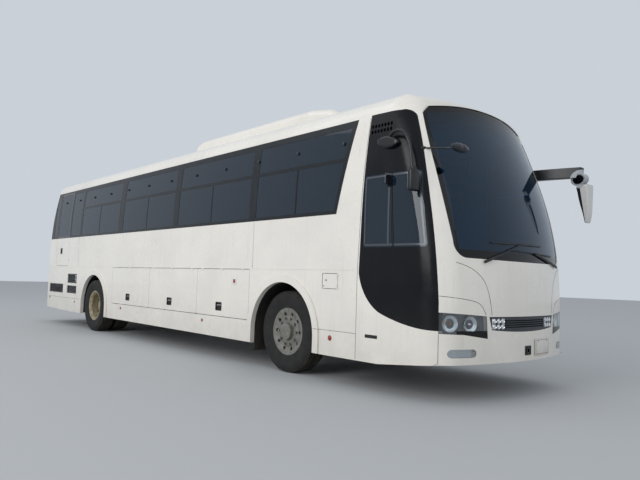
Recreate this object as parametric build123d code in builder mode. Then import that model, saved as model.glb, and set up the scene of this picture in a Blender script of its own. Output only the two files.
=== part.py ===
from build123d import *
import os
from math import asin, cos, degrees, hypot, pi, radians, sin, sqrt

os.makedirs("parts", exist_ok=True)

# A twelve metre high-deck coach, in millimetres. +X forward, +Y left, +Z up.
# The origin is on the ground under the middle of the body.

# Overall
body_length = 11990
body_width = 2490
roof_z = 3345
wall = 45
running_gap = 6
seat_gap = 0.3

# Levels on the side
skirt_z = 318
seam_z = 608
belt_z = 1315
band_low_z = 1955
band_top_z = 3045
knee_z = 1900
cant_z = 3050
cant_half_width = 1165

# Plan and profile of the shell
half_length = body_length / 2
half_width = body_width / 2
front_bow_radius = 3200
front_corner_radius = 350
rear_corner_radius = 80
crown_radius = 6000

# Axles and wheels
front_axle_x = 3275
rear_axle_x = -3025
wheel_radius = 517
tyre_width = 292
rim_radius = 286
rim_flange_radius = 300
front_tyre_y = 1022
rear_outer_y = 1094
twin_spacing = 330
kingpin_y = 800
stub_radius = 45
stub_clearance = 0.05

# Wheel arches
arch_half_width = 637
arch_top_z = 1143
arch_lip = 95
arch_lip_proud = 22

# Front section: where the side wall ends and the black panels lie
front_seam_x = 4618
panel_rear_x = 4640
panel_front_x = 5640

# Doors along the load space
door_gap = running_gap
hold_door_bays = [
    # name, rear edge x, front edge x
    ("aft", -2104, -500),
    ("mid", -500, 1142),
    ("fore", 1142, 2540),
]

# Side lights: rear edge and front edge of each window unit, then its slant at the front
window_units = [
    # rear x, front x, extra x at the top of the front edge
    (-3897, -1950, 0),
    (-1745, 261, 0),
    (433, 2471, 0),
    (2630, 4200, 215),
]
light_low_z = 2000
transom_low_z = 2565
transom_top_z = 2610
light_top_z = 2955
glass_depth = 3
glass_thickness = 6
frame_depth = 12

# Rear section of the window band
tail_light = (-5800, -5480)
exit_door = (-5430, -4610)
quarter_light = (-4560, -3990)

nose_bulge = 19
tail_seam_inset = 84
tail_seam_inset = 84
brow_z = 950


# Openings in the side walls
exit_door_low_z = 1326
exit_door_top_z = 3020
flap_x = (4033, 4304)
flap_z = (1085, 1268)
louvre_openings = [
    # rear x, front x, low z, high z
    (-5799, -4870, 709, 910),
    (-4601, -4026, 941, 1146),
    (-4616, -4027, 717, 887),
]

# Tail
rear_window_y = 960
rear_window_z = (1980, 2930)
engine_lid_y = 860
engine_lid_z = (560, 1340)
lid_slots = 7
lid_slot_pitch = 46
tail_lamp_y = 1035
tail_lamp_half = 85
tail_lamp_z = (640, 1180)
plate_half = 170
rear_plate_z = (400, 545)

# Front
bumper_rear_x = 5690
screen_depth = 10
screen_thickness = 8
tow_socket = (5882, 5982)
tow_z = 505
tow_radius = 20

# Doors and flaps
hold_top_z = 1303
hold_low_gap = 8
latch_shift = -60
latch_z = 757
latch_depth = 14
exit_door_free_gap = 12
exit_light = (-5370, -4670, 0)
flap_free_gap = 14
plate_recess = 14
plate_hole_y = 105
plate_hole_z = 522
plate_hole_radius = 3.5
lid_low_gap = 8
entrance_gap = 8
louvre_pitch = 26

# Small hinges: axes lie just outside the skin
hinge_pin_radius = 2.5
hinge_barrel_radius = 5
hinge_stand_off = 6
hinge_knuckle = 24
hinge_ear = 18
hinge_play = 2
hinge_leaf = 22
hold_hinge_y = (body_width / 2) + hinge_stand_off
hold_hinge_z = 1301
exit_hinges = [
    (exit_door[1] - running_gap / 2, -body_width / 2 - hinge_stand_off, z) for z in (1450, 1840)
]
flap_hinges = [
    (flap_x[1] - running_gap / 2, -body_width / 2 - hinge_stand_off, z) for z in (1120, 1233)
]
lid_hinges = [(-body_length / 2 - hinge_stand_off, y, 1338) for y in (-600, 0, 600)]

# Under the cabin
floor_z = 1315
floor_under_z = floor_z - 65 - seat_gap
floor_front_x = 4610
platform_z = 1000
stair_front_x = 5530
stair_side_y = 1075
stair_y = (1150, 860, 560, 260)
stair_z = (390, 640, 860)
hold_x = (-2150, 2590)
hold_half_width = 1190
hold_floor_z = (560, 600)
rail_y = 430
rail_z = (640, 860)
front_rails_x = (2600, 4560)
rear_rails_x = (-5650, -2160)
frame_cross_x = (2680, 4480, -2230, -4000)
liner_inner_y = 482
liner_grow = 13
engine_x = (-5600, -4350)
engine_half_width = 384.7
engine_z = (450, 1200)

# Wheels and kingpins
kingpin_radius = 20
nut_ring = 167.5
hand_hole_ring = 228
hand_hole_radius = 24

# Entrance door gear: post and hinge in plan
door_post = (5440, 1120)
door_pivot = (5041.5, 1085.1)
arm_radius = 18
arm_levels = (650, 1290)
post_z = (520, 1400)
bearing_z = (530, 1350)
door_pin_radius = 10
steering_shaft_radius = 15

# Steering column: foot and head on the steering axis
column_foot = (5300, -620, 1290)
column_head = (5120, -620, 1600)

# Seats and roof cooler
seat_rows = 11
seat_pitch = 860
seat_front_x = 3650
seat_y = 722
cooler_half_width = 800

# Angle over which the nose profile is turned
nose_sweep = 120

# Sketch planes reach past the shell by this much
beyond = 1500


def side_sign(side):
    """Extrusion direction from the X-Z plane: right is -Y."""
    return 1 if side == "right" else -1


def moved(curve, t, inset):
    """The point at t on a curve, moved to its left by inset."""
    along = curve % t
    return curve @ t + Vector(-along.Y, along.X) * inset


# Roof section: an edge arc tangent to the leaning wall and to the crown
wall_rise = cant_z - knee_z
wall_lean = half_width - cant_half_width
wall_radius = (wall_rise ** 2 + wall_lean ** 2) / (2 * wall_lean)
lean_angle = asin(wall_rise / wall_radius)
crown_z = roof_z - crown_radius
cant_reach = cant_half_width * cos(lean_angle) + (cant_z - crown_z) * sin(lean_angle)
cant_square = cant_half_width ** 2 + (cant_z - crown_z) ** 2
edge_radius = (crown_radius ** 2 - cant_square) / (2 * (crown_radius - cant_reach))
edge_y = cant_half_width - edge_radius * cos(lean_angle)
edge_z = cant_z - edge_radius * sin(lean_angle)
crown_angle = asin(edge_y / hypot(edge_y, edge_z - crown_z))

# Nose profile, as distance from the bow axis and height
nose_x = half_length - nose_bulge
bow_x = nose_x - front_bow_radius
low_z = skirt_z - 200
top_z = roof_z + 500
brow_line = TangentArc((front_bow_radius, brow_z), (front_bow_radius - 262, 2454), tangent=(0, 1))
rake_line = TangentArc(brow_line @ 1, (front_bow_radius - 524, 3123), tangent=brow_line % 1)
brim_line = ThreePointArc(
    (front_bow_radius - 500, 3085), (front_bow_radius - 559, 3185), (front_bow_radius - 671, 3252)
)
dip_line = ThreePointArc(
    brim_line @ 1, (front_bow_radius - 1061, 3330), (front_bow_radius - 1581, roof_z + 17)
)

# Tail profile
stern_line = TangentArc((-half_length, belt_z), (-half_length + 225, 2980), tangent=(0, 1))
tail_brim_line = ThreePointArc(
    (-half_length + 212, 2960), (-half_length + 305, 3180), (-half_length + 560, 3290)
)
tail_dip_line = ThreePointArc(
    tail_brim_line @ 1, (-half_length + 1100, 3345), (-half_length + 1700, roof_z + 17)
)


def hull(inset):
    """The coach body as one closed solid, its skin moved inwards by inset."""
    swing = radians(nose_sweep / 2)
    nose_plane = Plane(
        origin=(bow_x, 0, 0),
        x_dir=(cos(swing), -sin(swing), 0),
        z_dir=(-sin(swing), -cos(swing), 0),
    )
    nose_axis = Axis((bow_x, 0, 0), (0, 0, 1))
    far = front_bow_radius + beyond
    behind = -half_length - 600

    with BuildPart() as body:
        # side walls: upright below, leaning in above
        with BuildSketch(Plane.YZ.offset(-half_length - 200)):
            with BuildLine():
                wall_y = half_width - inset
                cant = (
                    cant_half_width - inset * cos(lean_angle), cant_z - inset * sin(lean_angle)
                )
                Line((0, low_z), (wall_y, low_z))
                Line((wall_y, low_z), (wall_y, knee_z))
                lean_arc = TangentArc((wall_y, knee_z), cant, tangent=(0, 1))
                top = Line(lean_arc @ 1, lean_arc @ 1 + (lean_arc % 1) * 500)
                Line(top @ 1, (0, (top @ 1).Y))
                mirror(about=Plane.YZ)
            make_face()
        extrude(amount=body_length + 400)
        # nose: cut by a raked profile turned about an upright axis
        with BuildSketch(nose_plane):
            with BuildLine():
                low = Line((front_bow_radius - inset, low_z), (front_bow_radius - inset, brow_z))
                brow = TangentArc(low @ 1, moved(brow_line, 1, inset), tangent=low % 1)
                rake = TangentArc(brow @ 1, moved(rake_line, 1, inset), tangent=brow % 1)
                tip = Line(rake @ 1, rake @ 1 + (rake % 1) * 600)
                Polyline(tip @ 1, (far, (tip @ 1).Y), (far, low_z), low @ 0)
            make_face()
        revolve(axis=nose_axis, revolution_arc=nose_sweep, mode=Mode.SUBTRACT)
        # tail: upright below, leaning forward above
        with BuildSketch(Plane.XZ.offset(-beyond)):
            with BuildLine():
                back = Line((-half_length + inset, low_z), (-half_length + inset, belt_z))
                slope = TangentArc(back @ 1, moved(stern_line, 1, -inset), tangent=back % 1)
                stern = Line(slope @ 1, slope @ 1 + (slope % 1) * 900)
                Polyline(stern @ 1, (behind, (stern @ 1).Y), (behind, low_z), back @ 0)
            make_face()
        extrude(amount=2 * beyond, mode=Mode.SUBTRACT)
        corners = body.edges().filter_by(lambda e: abs(e.center().Y) > 1000)
        corners = corners.filter_by(lambda e: e.bounding_box().size.Z > 50)
        fillet(corners.filter_by(lambda e: e.center().X > 4500), front_corner_radius - inset)
        fillet(corners.filter_by(lambda e: e.center().X < -4500), rear_corner_radius - inset)
        # roof: rounded edge and shallow crown
        with BuildSketch(Plane.YZ.offset(-half_length - 200)):
            with BuildLine():
                crown = crown_radius - inset
                edge = edge_radius - inset
                start = (cant[0] + 1, cant[1])
                end = (crown * sin(crown_angle), crown_z + crown * cos(crown_angle))
                mid_angle = (lean_angle + pi / 2 - crown_angle) / 2
                mid = (edge_y + edge * cos(mid_angle), edge_z + edge * sin(mid_angle))
                half = crown_angle / 2
                ThreePointArc(start, mid, end)
                ThreePointArc(
                    end, (crown * sin(half), crown_z + crown * cos(half)), (0, crown_z + crown)
                )
                Polyline(start, (beyond, cant[1]), (beyond, top_z), (0, top_z))
                mirror(about=Plane.YZ)
            make_face()
        extrude(amount=body_length + 400, mode=Mode.SUBTRACT)
        # roof: falls away over the windscreen
        with BuildSketch(nose_plane):
            with BuildLine():
                brim = ThreePointArc(*[moved(brim_line, t, inset) for t in (0, 0.5, 1)])
                dip = ThreePointArc(brim @ 1, *[moved(dip_line, t, inset) for t in (0.5, 1)])
                Polyline(dip @ 1, ((dip @ 1).X, top_z), (far, top_z), (far, (brim @ 0).Y), brim @ 0)
            make_face()
        revolve(axis=nose_axis, revolution_arc=nose_sweep, mode=Mode.SUBTRACT)
        # roof: falls away at the tail
        with BuildSketch(Plane.XZ.offset(-beyond)):
            with BuildLine():
                brim = ThreePointArc(*[moved(tail_brim_line, t, -inset) for t in (0, 0.5, 1)])
                dip = ThreePointArc(brim @ 1, *[moved(tail_dip_line, t, -inset) for t in (0.5, 1)])
                Polyline(
                    dip @ 1, ((dip @ 1).X, top_z), (behind, top_z), (behind, (brim @ 0).Y), brim @ 0
                )
            make_face()
        extrude(amount=2 * beyond, mode=Mode.SUBTRACT)
        # lower edge: level, rising under the front overhang
        with BuildSketch(Plane.XZ.offset(-beyond)):
            with BuildLine():
                Polyline(
                    (-half_length - 50, skirt_z + 30), (-half_length + 1600, skirt_z),
                    (4950, skirt_z), (5720, 392), (half_length + 50, 398),
                    (half_length + 50, top_z), (-half_length - 50, top_z), close=True,
                )
            make_face()
        extrude(amount=2 * beyond, mode=Mode.INTERSECT)
    return body.part


def take_side(side):
    """Keep only what the current sketch covers on one side of the body."""
    extrude(amount=side_sign(side) * beyond, mode=Mode.INTERSECT)


def cut_side(side):
    """Cut the current sketch through one side of the body."""
    extrude(amount=side_sign(side) * beyond, mode=Mode.SUBTRACT)


def rectangle(x0, x1, z0, z1, grow=0, corner=0):
    """A rectangle in the current sketch, given by its edges."""
    with Locations(((x0 + x1) / 2, (z0 + z1) / 2)):
        if corner:
            RectangleRounded(x1 - x0 + 2 * grow, z1 - z0 + 2 * grow, corner)
        else:
            Rectangle(x1 - x0 + 2 * grow, z1 - z0 + 2 * grow)


def fill(border, grow=0, mode=Mode.ADD):
    """Fill a closed border in the current sketch, moved outwards by grow."""
    face = make_face(border.edges(), mode=Mode.PRIVATE)
    if grow:
        face = offset(face, amount=grow, mode=Mode.PRIVATE)
    add(face, mode=mode)


def outline(*points, corner=0, grow=0, mode=Mode.ADD):
    """A closed outline in the current sketch, its corners rounded."""
    with BuildLine() as border:
        if corner:
            FilletPolyline(*points, radius=corner, close=True)
        else:
            Polyline(*points, close=True)
    fill(border, grow, mode)


def box(x0, x1, y0, y1, z0, z1, mode=Mode.ADD):
    """A block given by its faces."""
    with Locations(((x0 + x1) / 2, (y0 + y1) / 2, (z0 + z1) / 2)):
        Box(x1 - x0, y1 - y0, z1 - z0, mode=mode)


def rod(start, end, radius, mode=Mode.ADD):
    """A straight round bar between two points."""
    run = Vector(*end) - Vector(*start)
    with Locations(Plane(origin=start, z_dir=run)):
        Cylinder(radius, run.length, align=(Align.CENTER, Align.CENTER, Align.MIN), mode=mode)


def block(corner, opposite, mode=Mode.ADD):
    """A block between two opposite corners."""
    low = [min(a, b) for a, b in zip(corner, opposite)]
    high = [max(a, b) for a, b in zip(corner, opposite)]
    box(low[0], high[0], low[1], high[1], low[2], high[2], mode=mode)


def hinge_half(axis_points, along, inward, reach, moving):
    """One half of each small hinge: the pin half moves, the bored half is fixed."""
    for point in axis_points:
        centre = Vector(*point)
        run = Vector(*along)
        into = Vector(*inward)
        if moving:
            spans = [(-hinge_knuckle / 2, hinge_knuckle / 2)]
        else:
            outer = hinge_knuckle / 2 + hinge_play
            spans = [(outer, outer + hinge_ear), (-outer - hinge_ear, -outer)]
        for a, b in spans:
            rod(centre + run * a, centre + run * b, hinge_barrel_radius)
            block(
                centre + run * a + into * (hinge_stand_off - 4),
                centre + run * b + into * (hinge_stand_off + 1) + Vector(*reach) * hinge_leaf,
            )
        end = hinge_knuckle / 2 + hinge_play + hinge_ear
        if moving:
            rod(centre - run * end, centre + run * end, hinge_pin_radius)
        else:
            rod(
                centre - run * (end + 1), centre + run * (end + 1),
                hinge_pin_radius + stub_clearance, Mode.SUBTRACT,
            )


def hold_hinges(x0, x1):
    """Where the hinges of one luggage door sit along it."""
    return [x0 + 160, (x0 + x1) / 2, x1 - 160]


def finish(builder, name):
    """Label one node and write it."""
    builder.part.label = name
    export_step(builder.part, f"parts/{name}.step")


# Skins of the body: the whole wall, the window frame layer and the glass layer
skin = hull(0)
cavity = hull(wall)
frame_back = hull(frame_depth)
recess = hull(frame_depth + seat_gap)
glass_face = hull(glass_depth)
glass_back = hull(glass_depth + glass_thickness)
shell = skin - cavity
louvre_layer = frame_back - hull(30)
frame_layer = skin - frame_back
glass_layer = glass_face - glass_back

# The line where the side wall meets the tail
tail_seam = [moved(stern_line, t, -tail_seam_inset) for t in (0, 0.5, 1)]
band_tail = [moved(stern_line, t, -tail_seam_inset - 10) for t in (0.4, 0.7, 1)]
seam_slope = (tail_seam[2] - tail_seam[1]).normalized()


def side_region(grow=0, mode=Mode.ADD):
    """Outline of one side wall in the current sketch."""
    with BuildLine() as border:
        low = Line((tail_seam[0].X, skirt_z - 50), tail_seam[0])
        slope = ThreePointArc(*tail_seam)
        tip = Line(slope @ 1, slope @ 1 + seam_slope * (band_top_z - (slope @ 1).Y) / seam_slope.Y)
        Polyline(
            tip @ 1, (front_seam_x + 83, band_top_z), (front_seam_x, 1284),
            (front_seam_x, skirt_z - 50), low @ 0,
        )
    fill(border, grow, mode)


def band_region(grow=0, mode=Mode.ADD):
    """Outline of the dark window band in the current sketch."""
    with BuildLine() as border:
        arc = ThreePointArc(*band_tail)
        tip = arc @ 1 + seam_slope * (band_top_z - 8 - (arc @ 1).Y) / seam_slope.Y
        Polyline(
            arc @ 1, tip, (4508, band_top_z - 8), (4248, band_low_z),
            ((arc @ 0).X, band_low_z), arc @ 0,
        )
    fill(border, grow, mode)


def unit_outline(unit, z0, z1, shrink=0):
    """Outline of one light of a window unit, slanted at its front edge."""
    rear, front, slant = unit
    rise = (light_top_z - light_low_z)
    low = front + slant * (z0 - light_low_z) / rise
    high = front + slant * (z1 - light_low_z) / rise
    return (
        (rear + shrink, z0 + shrink), (low - shrink, z0 + shrink),
        (high - shrink, z1 - shrink), (rear + shrink, z1 - shrink),
    )


def light_outlines(side, shrink=0):
    """Every pane of one side: two sliding panes under a fixed upper light in each unit."""
    panes = []
    for unit in window_units:
        rear, front, slant = unit
        middle = (rear + front) / 2 + (65 if slant else 0)
        panes.append(unit_outline((rear, middle - 12, 0), light_low_z, transom_low_z, shrink))
        panes.append(unit_outline((middle + 12, front, slant), light_low_z, transom_low_z, shrink))
        panes.append(unit_outline(unit, transom_top_z, light_top_z, shrink))
    panes.append(unit_outline((*quarter_light, 0), light_low_z, light_top_z, shrink))
    panes.append(unit_outline((tail_light[0] + 125, tail_light[1], 0), light_low_z, light_top_z, shrink))
    if side == "left":
        panes.append(unit_outline((exit_door[0] + 60, exit_door[1] - 60, 0), light_low_z, light_top_z, shrink))
    return panes


def arch_outline(x, grow=0, low=-200, mode=Mode.ADD):
    """Outline of a wheel arch in the current sketch."""
    radius = arch_half_width + grow
    centre_z = arch_top_z - arch_half_width
    with BuildLine() as border:
        crown = ThreePointArc((x + radius, centre_z), (x, centre_z + radius), (x - radius, centre_z))
        Polyline(crown @ 1, (x - radius, low), (x + radius, low), crown @ 0)
    fill(border, 0, mode)


for side in ("right", "left"):
    out = -side_sign(side)
    with BuildPart() as band_tool:
        with BuildSketch(Plane.XZ):
            band_region()
        extrude(amount=side_sign(side) * beyond)
        add(recess, mode=Mode.SUBTRACT)
    with BuildPart() as side_wall:
        add(shell)
        with BuildSketch(Plane.XZ):
            side_region()
        take_side(side)
        for x in (front_axle_x, rear_axle_x):
            with BuildSketch(Plane.XZ):
                arch_outline(x)
            cut_side(side)
        with BuildSketch(Plane.XZ):
            rectangle(hold_door_bays[0][1], hold_door_bays[-1][2], seam_z, hold_top_z, corner=25)
        cut_side(side)
        add(band_tool.part, mode=Mode.SUBTRACT)
        with BuildSketch(Plane.XZ):
            for unit in window_units:
                outline(*unit_outline(unit, light_low_z - 8, light_top_z + 8, -4))
            outline(*unit_outline((*quarter_light, 0), light_low_z, light_top_z))
            outline(*unit_outline((tail_light[0] + 125, tail_light[1], 0), light_low_z, light_top_z))
            if side == "right":
                rectangle(*exit_door, exit_door_low_z, exit_door_top_z, grow=0, corner=40)
                rectangle(*flap_x, *flap_z, corner=12)
            else:
                rectangle(exit_door[0] + 60, exit_door[1] - 60, light_low_z, light_top_z)
            for x0, x1, z0, z1 in louvre_openings:
                rectangle(x0, x1, z0, z1, corner=8)
        cut_side(side)
        # belt moulding
        with BuildSketch(Plane.XZ.offset(side_sign(side) * (half_width - 1))):
            rectangle(tail_seam[0].X + 6, front_seam_x - 63, belt_z - 7, belt_z + 7)
        extrude(amount=side_sign(side) * 5)
        # arch lips
        for x in (front_axle_x, rear_axle_x):
            with BuildSketch(Plane.XZ.offset(side_sign(side) * (half_width - 1))):
                arch_outline(x, arch_lip, skirt_z + 6)
                arch_outline(x, mode=Mode.SUBTRACT)
            extrude(amount=side_sign(side) * (1 + arch_lip_proud))
        for _, x0, x1 in hold_door_bays:
            hinge_half(
                [(x, out * hold_hinge_y, hold_hinge_z) for x in hold_hinges(x0, x1)],
                (1, 0, 0), (0, -out, 0), (0, 0, 1), False,
            )
        if side == "right":
            hinge_half(exit_hinges, (0, 0, 1), (0, 1, 0), (1, 0, 0), False)
            hinge_half(flap_hinges, (0, 0, 1), (0, 1, 0), (1, 0, 0), False)
    finish(side_wall, f"side_wall_{side}")


# Roof, in front of the tail and up to the front cap
with BuildPart() as roof:
    add(shell)
    with BuildSketch(Plane.XZ.offset(-beyond)):
        outline(
            (-half_length - 50, band_top_z), (front_seam_x + 83, band_top_z),
            (front_seam_x + 133, top_z), (-half_length - 50, top_z),
        )
    extrude(amount=2 * beyond, mode=Mode.INTERSECT)
finish(roof, "roof")

# Tail wall with its window, lid opening and lamp recesses
with BuildPart() as rear_wall:
    add(shell)
    with BuildSketch(Plane.XZ.offset(-beyond)):
        with BuildLine():
            low = Line((tail_seam[0].X, skirt_z - 50), tail_seam[0])
            slope = ThreePointArc(*tail_seam)
            tip = Line(
                slope @ 1, slope @ 1 + seam_slope * (band_top_z - (slope @ 1).Y) / seam_slope.Y
            )
            Polyline(
                tip @ 1, (-half_length - 50, band_top_z), (-half_length - 50, skirt_z - 50), low @ 0
            )
        make_face()
    extrude(amount=2 * beyond, mode=Mode.INTERSECT)
    with BuildSketch(Plane.YZ.offset(-half_length - 50)):
        rectangle(-rear_window_y, rear_window_y, *rear_window_z, corner=90)
        rectangle(-engine_lid_y, engine_lid_y, *engine_lid_z, corner=30)
        for y in (-tail_lamp_y, tail_lamp_y):
            rectangle(y - tail_lamp_half, y + tail_lamp_half, *tail_lamp_z, corner=20)
    extrude(amount=500, mode=Mode.SUBTRACT)
    with BuildSketch(Plane.YZ.offset(-half_length - 50)):
        rectangle(-plate_half, plate_half, *rear_plate_z, corner=6)
    extrude(amount=50 + plate_recess, mode=Mode.SUBTRACT)
    for y in (-plate_hole_y, plate_hole_y):
        rod(
            (-half_length - 10, y, plate_hole_z), (-half_length + 100, y, plate_hole_z),
            plate_hole_radius, Mode.SUBTRACT,
        )
    hinge_half(lid_hinges, (0, 1, 0), (1, 0, 0), (0, 0, 1), False)
finish(rear_wall, "rear_wall")

with BuildPart() as rear_window:
    add(glass_layer)
    with BuildSketch(Plane.YZ.offset(-half_length - 50)):
        rectangle(-rear_window_y, rear_window_y, *rear_window_z, grow=-seat_gap, corner=89)
    extrude(amount=500, mode=Mode.INTERSECT)
finish(rear_window, "rear_window")

# Lid over the engine, hinged along its top edge
with BuildPart() as engine_lid:
    add(shell)
    with BuildSketch(Plane.YZ.offset(-half_length - 50)):
        rectangle(
            -engine_lid_y + running_gap, engine_lid_y - running_gap,
            engine_lid_z[0] + lid_low_gap, engine_lid_z[1] - running_gap, corner=24,
        )
    extrude(amount=500, mode=Mode.INTERSECT)
    with BuildSketch(Plane.YZ.offset(-half_length - 50)):
        with GridLocations(0, lid_slot_pitch, 1, lid_slots):
            with Locations((0, sum(engine_lid_z) / 2 + 60)):
                SlotOverall(2 * engine_lid_y - 500, 26)
    extrude(amount=500, mode=Mode.SUBTRACT)
    hinge_half(lid_hinges, (0, 1, 0), (1, 0, 0), (0, 0, -1), True)
finish(engine_lid, "engine_lid")

# Tail lamps fill their recesses
with BuildPart() as tail_lamps:
    add(skin - recess)
    with BuildSketch(Plane.YZ.offset(-half_length - 50)):
        for y in (-tail_lamp_y, tail_lamp_y):
            rectangle(
                y - tail_lamp_half, y + tail_lamp_half, *tail_lamp_z, grow=-seat_gap, corner=19.7
            )
    extrude(amount=500, mode=Mode.INTERSECT)
    with BuildSketch(Plane.YZ.offset(-half_length + 90)):
        for y in (-tail_lamp_y, tail_lamp_y):
            rectangle(
                y - tail_lamp_half, y + tail_lamp_half, *tail_lamp_z, grow=-seat_gap - 4, corner=16
            )
    extrude(amount=-84)
finish(tail_lamps, "tail_lamps")


def panel_region(grow=0, mode=Mode.ADD):
    """Outline of the black corner panel, seen from the side, in the current sketch."""
    with BuildLine() as border:
        rear_edge = Line((panel_rear_x, 1284), (panel_rear_x + 68, 3050))
        top = Line(rear_edge @ 1, (5120, 3043))
        shoulder = ThreePointArc(top @ 1, (5225, 3025), (5290, 2940))
        edge = ThreePointArc(shoulder @ 1, (5509, 2239), (bumper_rear_x, 1000))
        foot = Line(edge @ 1, (bumper_rear_x, 722))
        sweep_low = ThreePointArc(foot @ 1, (5300, 762), (4950, 860))
        ThreePointArc(sweep_low @ 1, (4755, 1020), rear_edge @ 0)
    fill(border, grow, mode)


def windscreen_region(grow=0, mode=Mode.ADD):
    """Outline of the windscreen, seen from the front, in the current sketch."""
    with BuildLine() as border:
        top = ThreePointArc((-935, 3095), (0, 3186), (935, 3095))
        ThreePointArc(top @ 1, (995, 3075), (1008, 3000))
        side = ThreePointArc((1008, 3000), (1072, 2200), (1040, 1620))
        foot = ThreePointArc(side @ 1, (1000, 1500), (880, 1452))
        ThreePointArc(foot @ 1, (0, 1442), (-880, 1452))
        ThreePointArc((-880, 1452), (-1000, 1500), (-1040, 1620))
        ThreePointArc((-1040, 1620), (-1072, 2200), (-1008, 3000))
        ThreePointArc((-1008, 3000), (-995, 3075), (-935, 3095))
    fill(border, grow, mode)


def mask_region(grow=0, mode=Mode.ADD):
    """Outline of the centre front panel, seen from the front, in the current sketch."""
    half = [(601, 880), (625, 1037), (687, 1227), (843, 1353), (1035, 1408)]
    top = [(1035, 1408), (1035, 1640)]
    right = half + top[1:]
    outline(*right, *[(-y, z) for y, z in right[::-1]], grow=grow, mode=mode)


def bumper_region(grow=0, mode=Mode.ADD):
    """Outline of the bumper with its lamps, seen from the front, in the current sketch."""
    half = [(beyond, 200), (beyond, 1066), (1175, 1066), (881, 1034), (745, 996), (682, 886), (601, 880)]
    outline(*half, *[(-y, z) for y, z in half[::-1]], grow=grow, mode=mode)


# Driver's door glass and entrance door, as seen from the side
cab_light = [(4692, 1560), (5575, 1552), (5452, 2350), (4692, 2350)]
door_points = [(4740, 250), (5490, 250), (5490, 1700), (5395, 2380), (4740, 2380)]
door_glass = [(4806, 1330), (5430, 1330), (5425, 1690), (5345, 2305), (4806, 2305)]
door_low_glass = [(4806, 700), (5430, 700), (5430, 1250), (4806, 1250)]

def post_bearing(z):
    """Bracket and bored eye that hold the door post to the wall at one level."""
    box(door_post[0], 5535, door_post[1] - 15, door_post[1] + 15, z, z + 30)
    box(5505, 5535, door_post[1] - 15, half_width - wall + 6, z, z + 30)
    rod((*door_post, z), (*door_post, z + 30), arm_radius + 16)
    rod((*door_post, z - 1), (*door_post, z + 31), arm_radius + stub_clearance, Mode.SUBTRACT)


# Front shell: cap over the windscreen, pillars and the skirt under the black panels
with BuildPart() as front_shell:
    add(shell)
    with BuildSketch(Plane.XZ.offset(-beyond)):
        outline(
            (front_seam_x, 100), (front_seam_x, 1284), (front_seam_x + 83, band_top_z),
            (front_seam_x + 133, top_z), (half_length + 100, top_z), (half_length + 100, 100),
        )
    extrude(amount=2 * beyond, mode=Mode.INTERSECT)
    with BuildSketch(Plane.XZ.offset(-beyond)):
        panel_region()
    extrude(amount=2 * beyond, mode=Mode.SUBTRACT)
    with BuildSketch(Plane.XZ):
        outline(*door_points, corner=40)
    cut_side("left")
    with BuildSketch(Plane.YZ.offset(bumper_rear_x)):
        bumper_region()
        mask_region()
    extrude(amount=500, mode=Mode.SUBTRACT)
    with BuildSketch(Plane.YZ.offset(half_length - 700)):
        windscreen_region()
    extrude(amount=800, mode=Mode.SUBTRACT)
    post_bearing(bearing_z[0])
finish(front_shell, "front_shell")

with BuildPart() as windscreen:
    add(hull(screen_depth) - hull(screen_depth + screen_thickness))
    with BuildSketch(Plane.YZ.offset(half_length - 700)):
        windscreen_region(-seat_gap)
    extrude(amount=800, mode=Mode.INTERSECT)
finish(windscreen, "windscreen")

with BuildPart() as front_mask:
    add(shell)
    with BuildSketch(Plane.YZ.offset(bumper_rear_x)):
        mask_region()
        windscreen_region(mode=Mode.SUBTRACT)
    extrude(amount=500, mode=Mode.INTERSECT)
finish(front_mask, "front_mask")


def lamp_region(sign, grow=0, mode=Mode.ADD):
    """Outline of one headlamp opening, seen from the front, in the current sketch."""
    points = [(655, 646), (672, 873), (960, 893), (1300, 912), (1300, 700), (960, 690)]
    outline(*[(sign * y, z) for y, z in points], grow=grow, mode=mode)


def fog_region(sign, grow=0):
    """Outline of one fog lamp, seen from the front, in the current sketch."""
    with Locations((sign * 958, 505)):
        SlotOverall(315 + 2 * grow, 83 + 2 * grow)


def grille_region(grow=0, mode=Mode.ADD):
    """Outline of the centre grille, seen from the front, in the current sketch."""
    with BuildLine() as border:
        top = Line((-638, 866), (638, 866))
        end = Line(top @ 1, (600, 732))
        bow = ThreePointArc(end @ 1, (0, 705), (-600, 732))
        Line(bow @ 1, top @ 0)
    fill(border, grow, mode)


with BuildPart() as bumper:
    add(shell)
    with BuildSketch(Plane.YZ.offset(bumper_rear_x)):
        bumper_region()
    extrude(amount=500, mode=Mode.INTERSECT)
    with BuildSketch(Plane.YZ.offset(bumper_rear_x - 100)):
        for sign in (-1, 1):
            lamp_region(sign)
            fog_region(sign)
        grille_region()
    extrude(amount=600, mode=Mode.SUBTRACT)
    # socket for the towing eye
    rod((tow_socket[0], 0, tow_z), (tow_socket[1], 0, tow_z), tow_radius + 12)
    rod((tow_socket[0] + 15, 0, tow_z), (tow_socket[1] + 1, 0, tow_z), tow_radius, Mode.SUBTRACT)
finish(bumper, "bumper")

lamp_glass_layer = skin - glass_back
lamp_body_layer = cavity - hull(75)
with BuildPart() as lamp_lenses:
    add(lamp_glass_layer)
    with BuildSketch(Plane.YZ.offset(bumper_rear_x)):
        for sign in (-1, 1):
            lamp_region(sign, -seat_gap)
            fog_region(sign, -seat_gap)
    extrude(amount=500, mode=Mode.INTERSECT)
finish(lamp_lenses, "lamp_lenses")

with BuildPart() as lamp_bodies:
    add(lamp_body_layer)
    with BuildSketch(Plane.YZ.offset(bumper_rear_x)):
        for sign in (-1, 1):
            lamp_region(sign, -seat_gap)
            fog_region(sign, -seat_gap)
    extrude(amount=500, mode=Mode.INTERSECT)
finish(lamp_bodies, "lamp_bodies")

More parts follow.
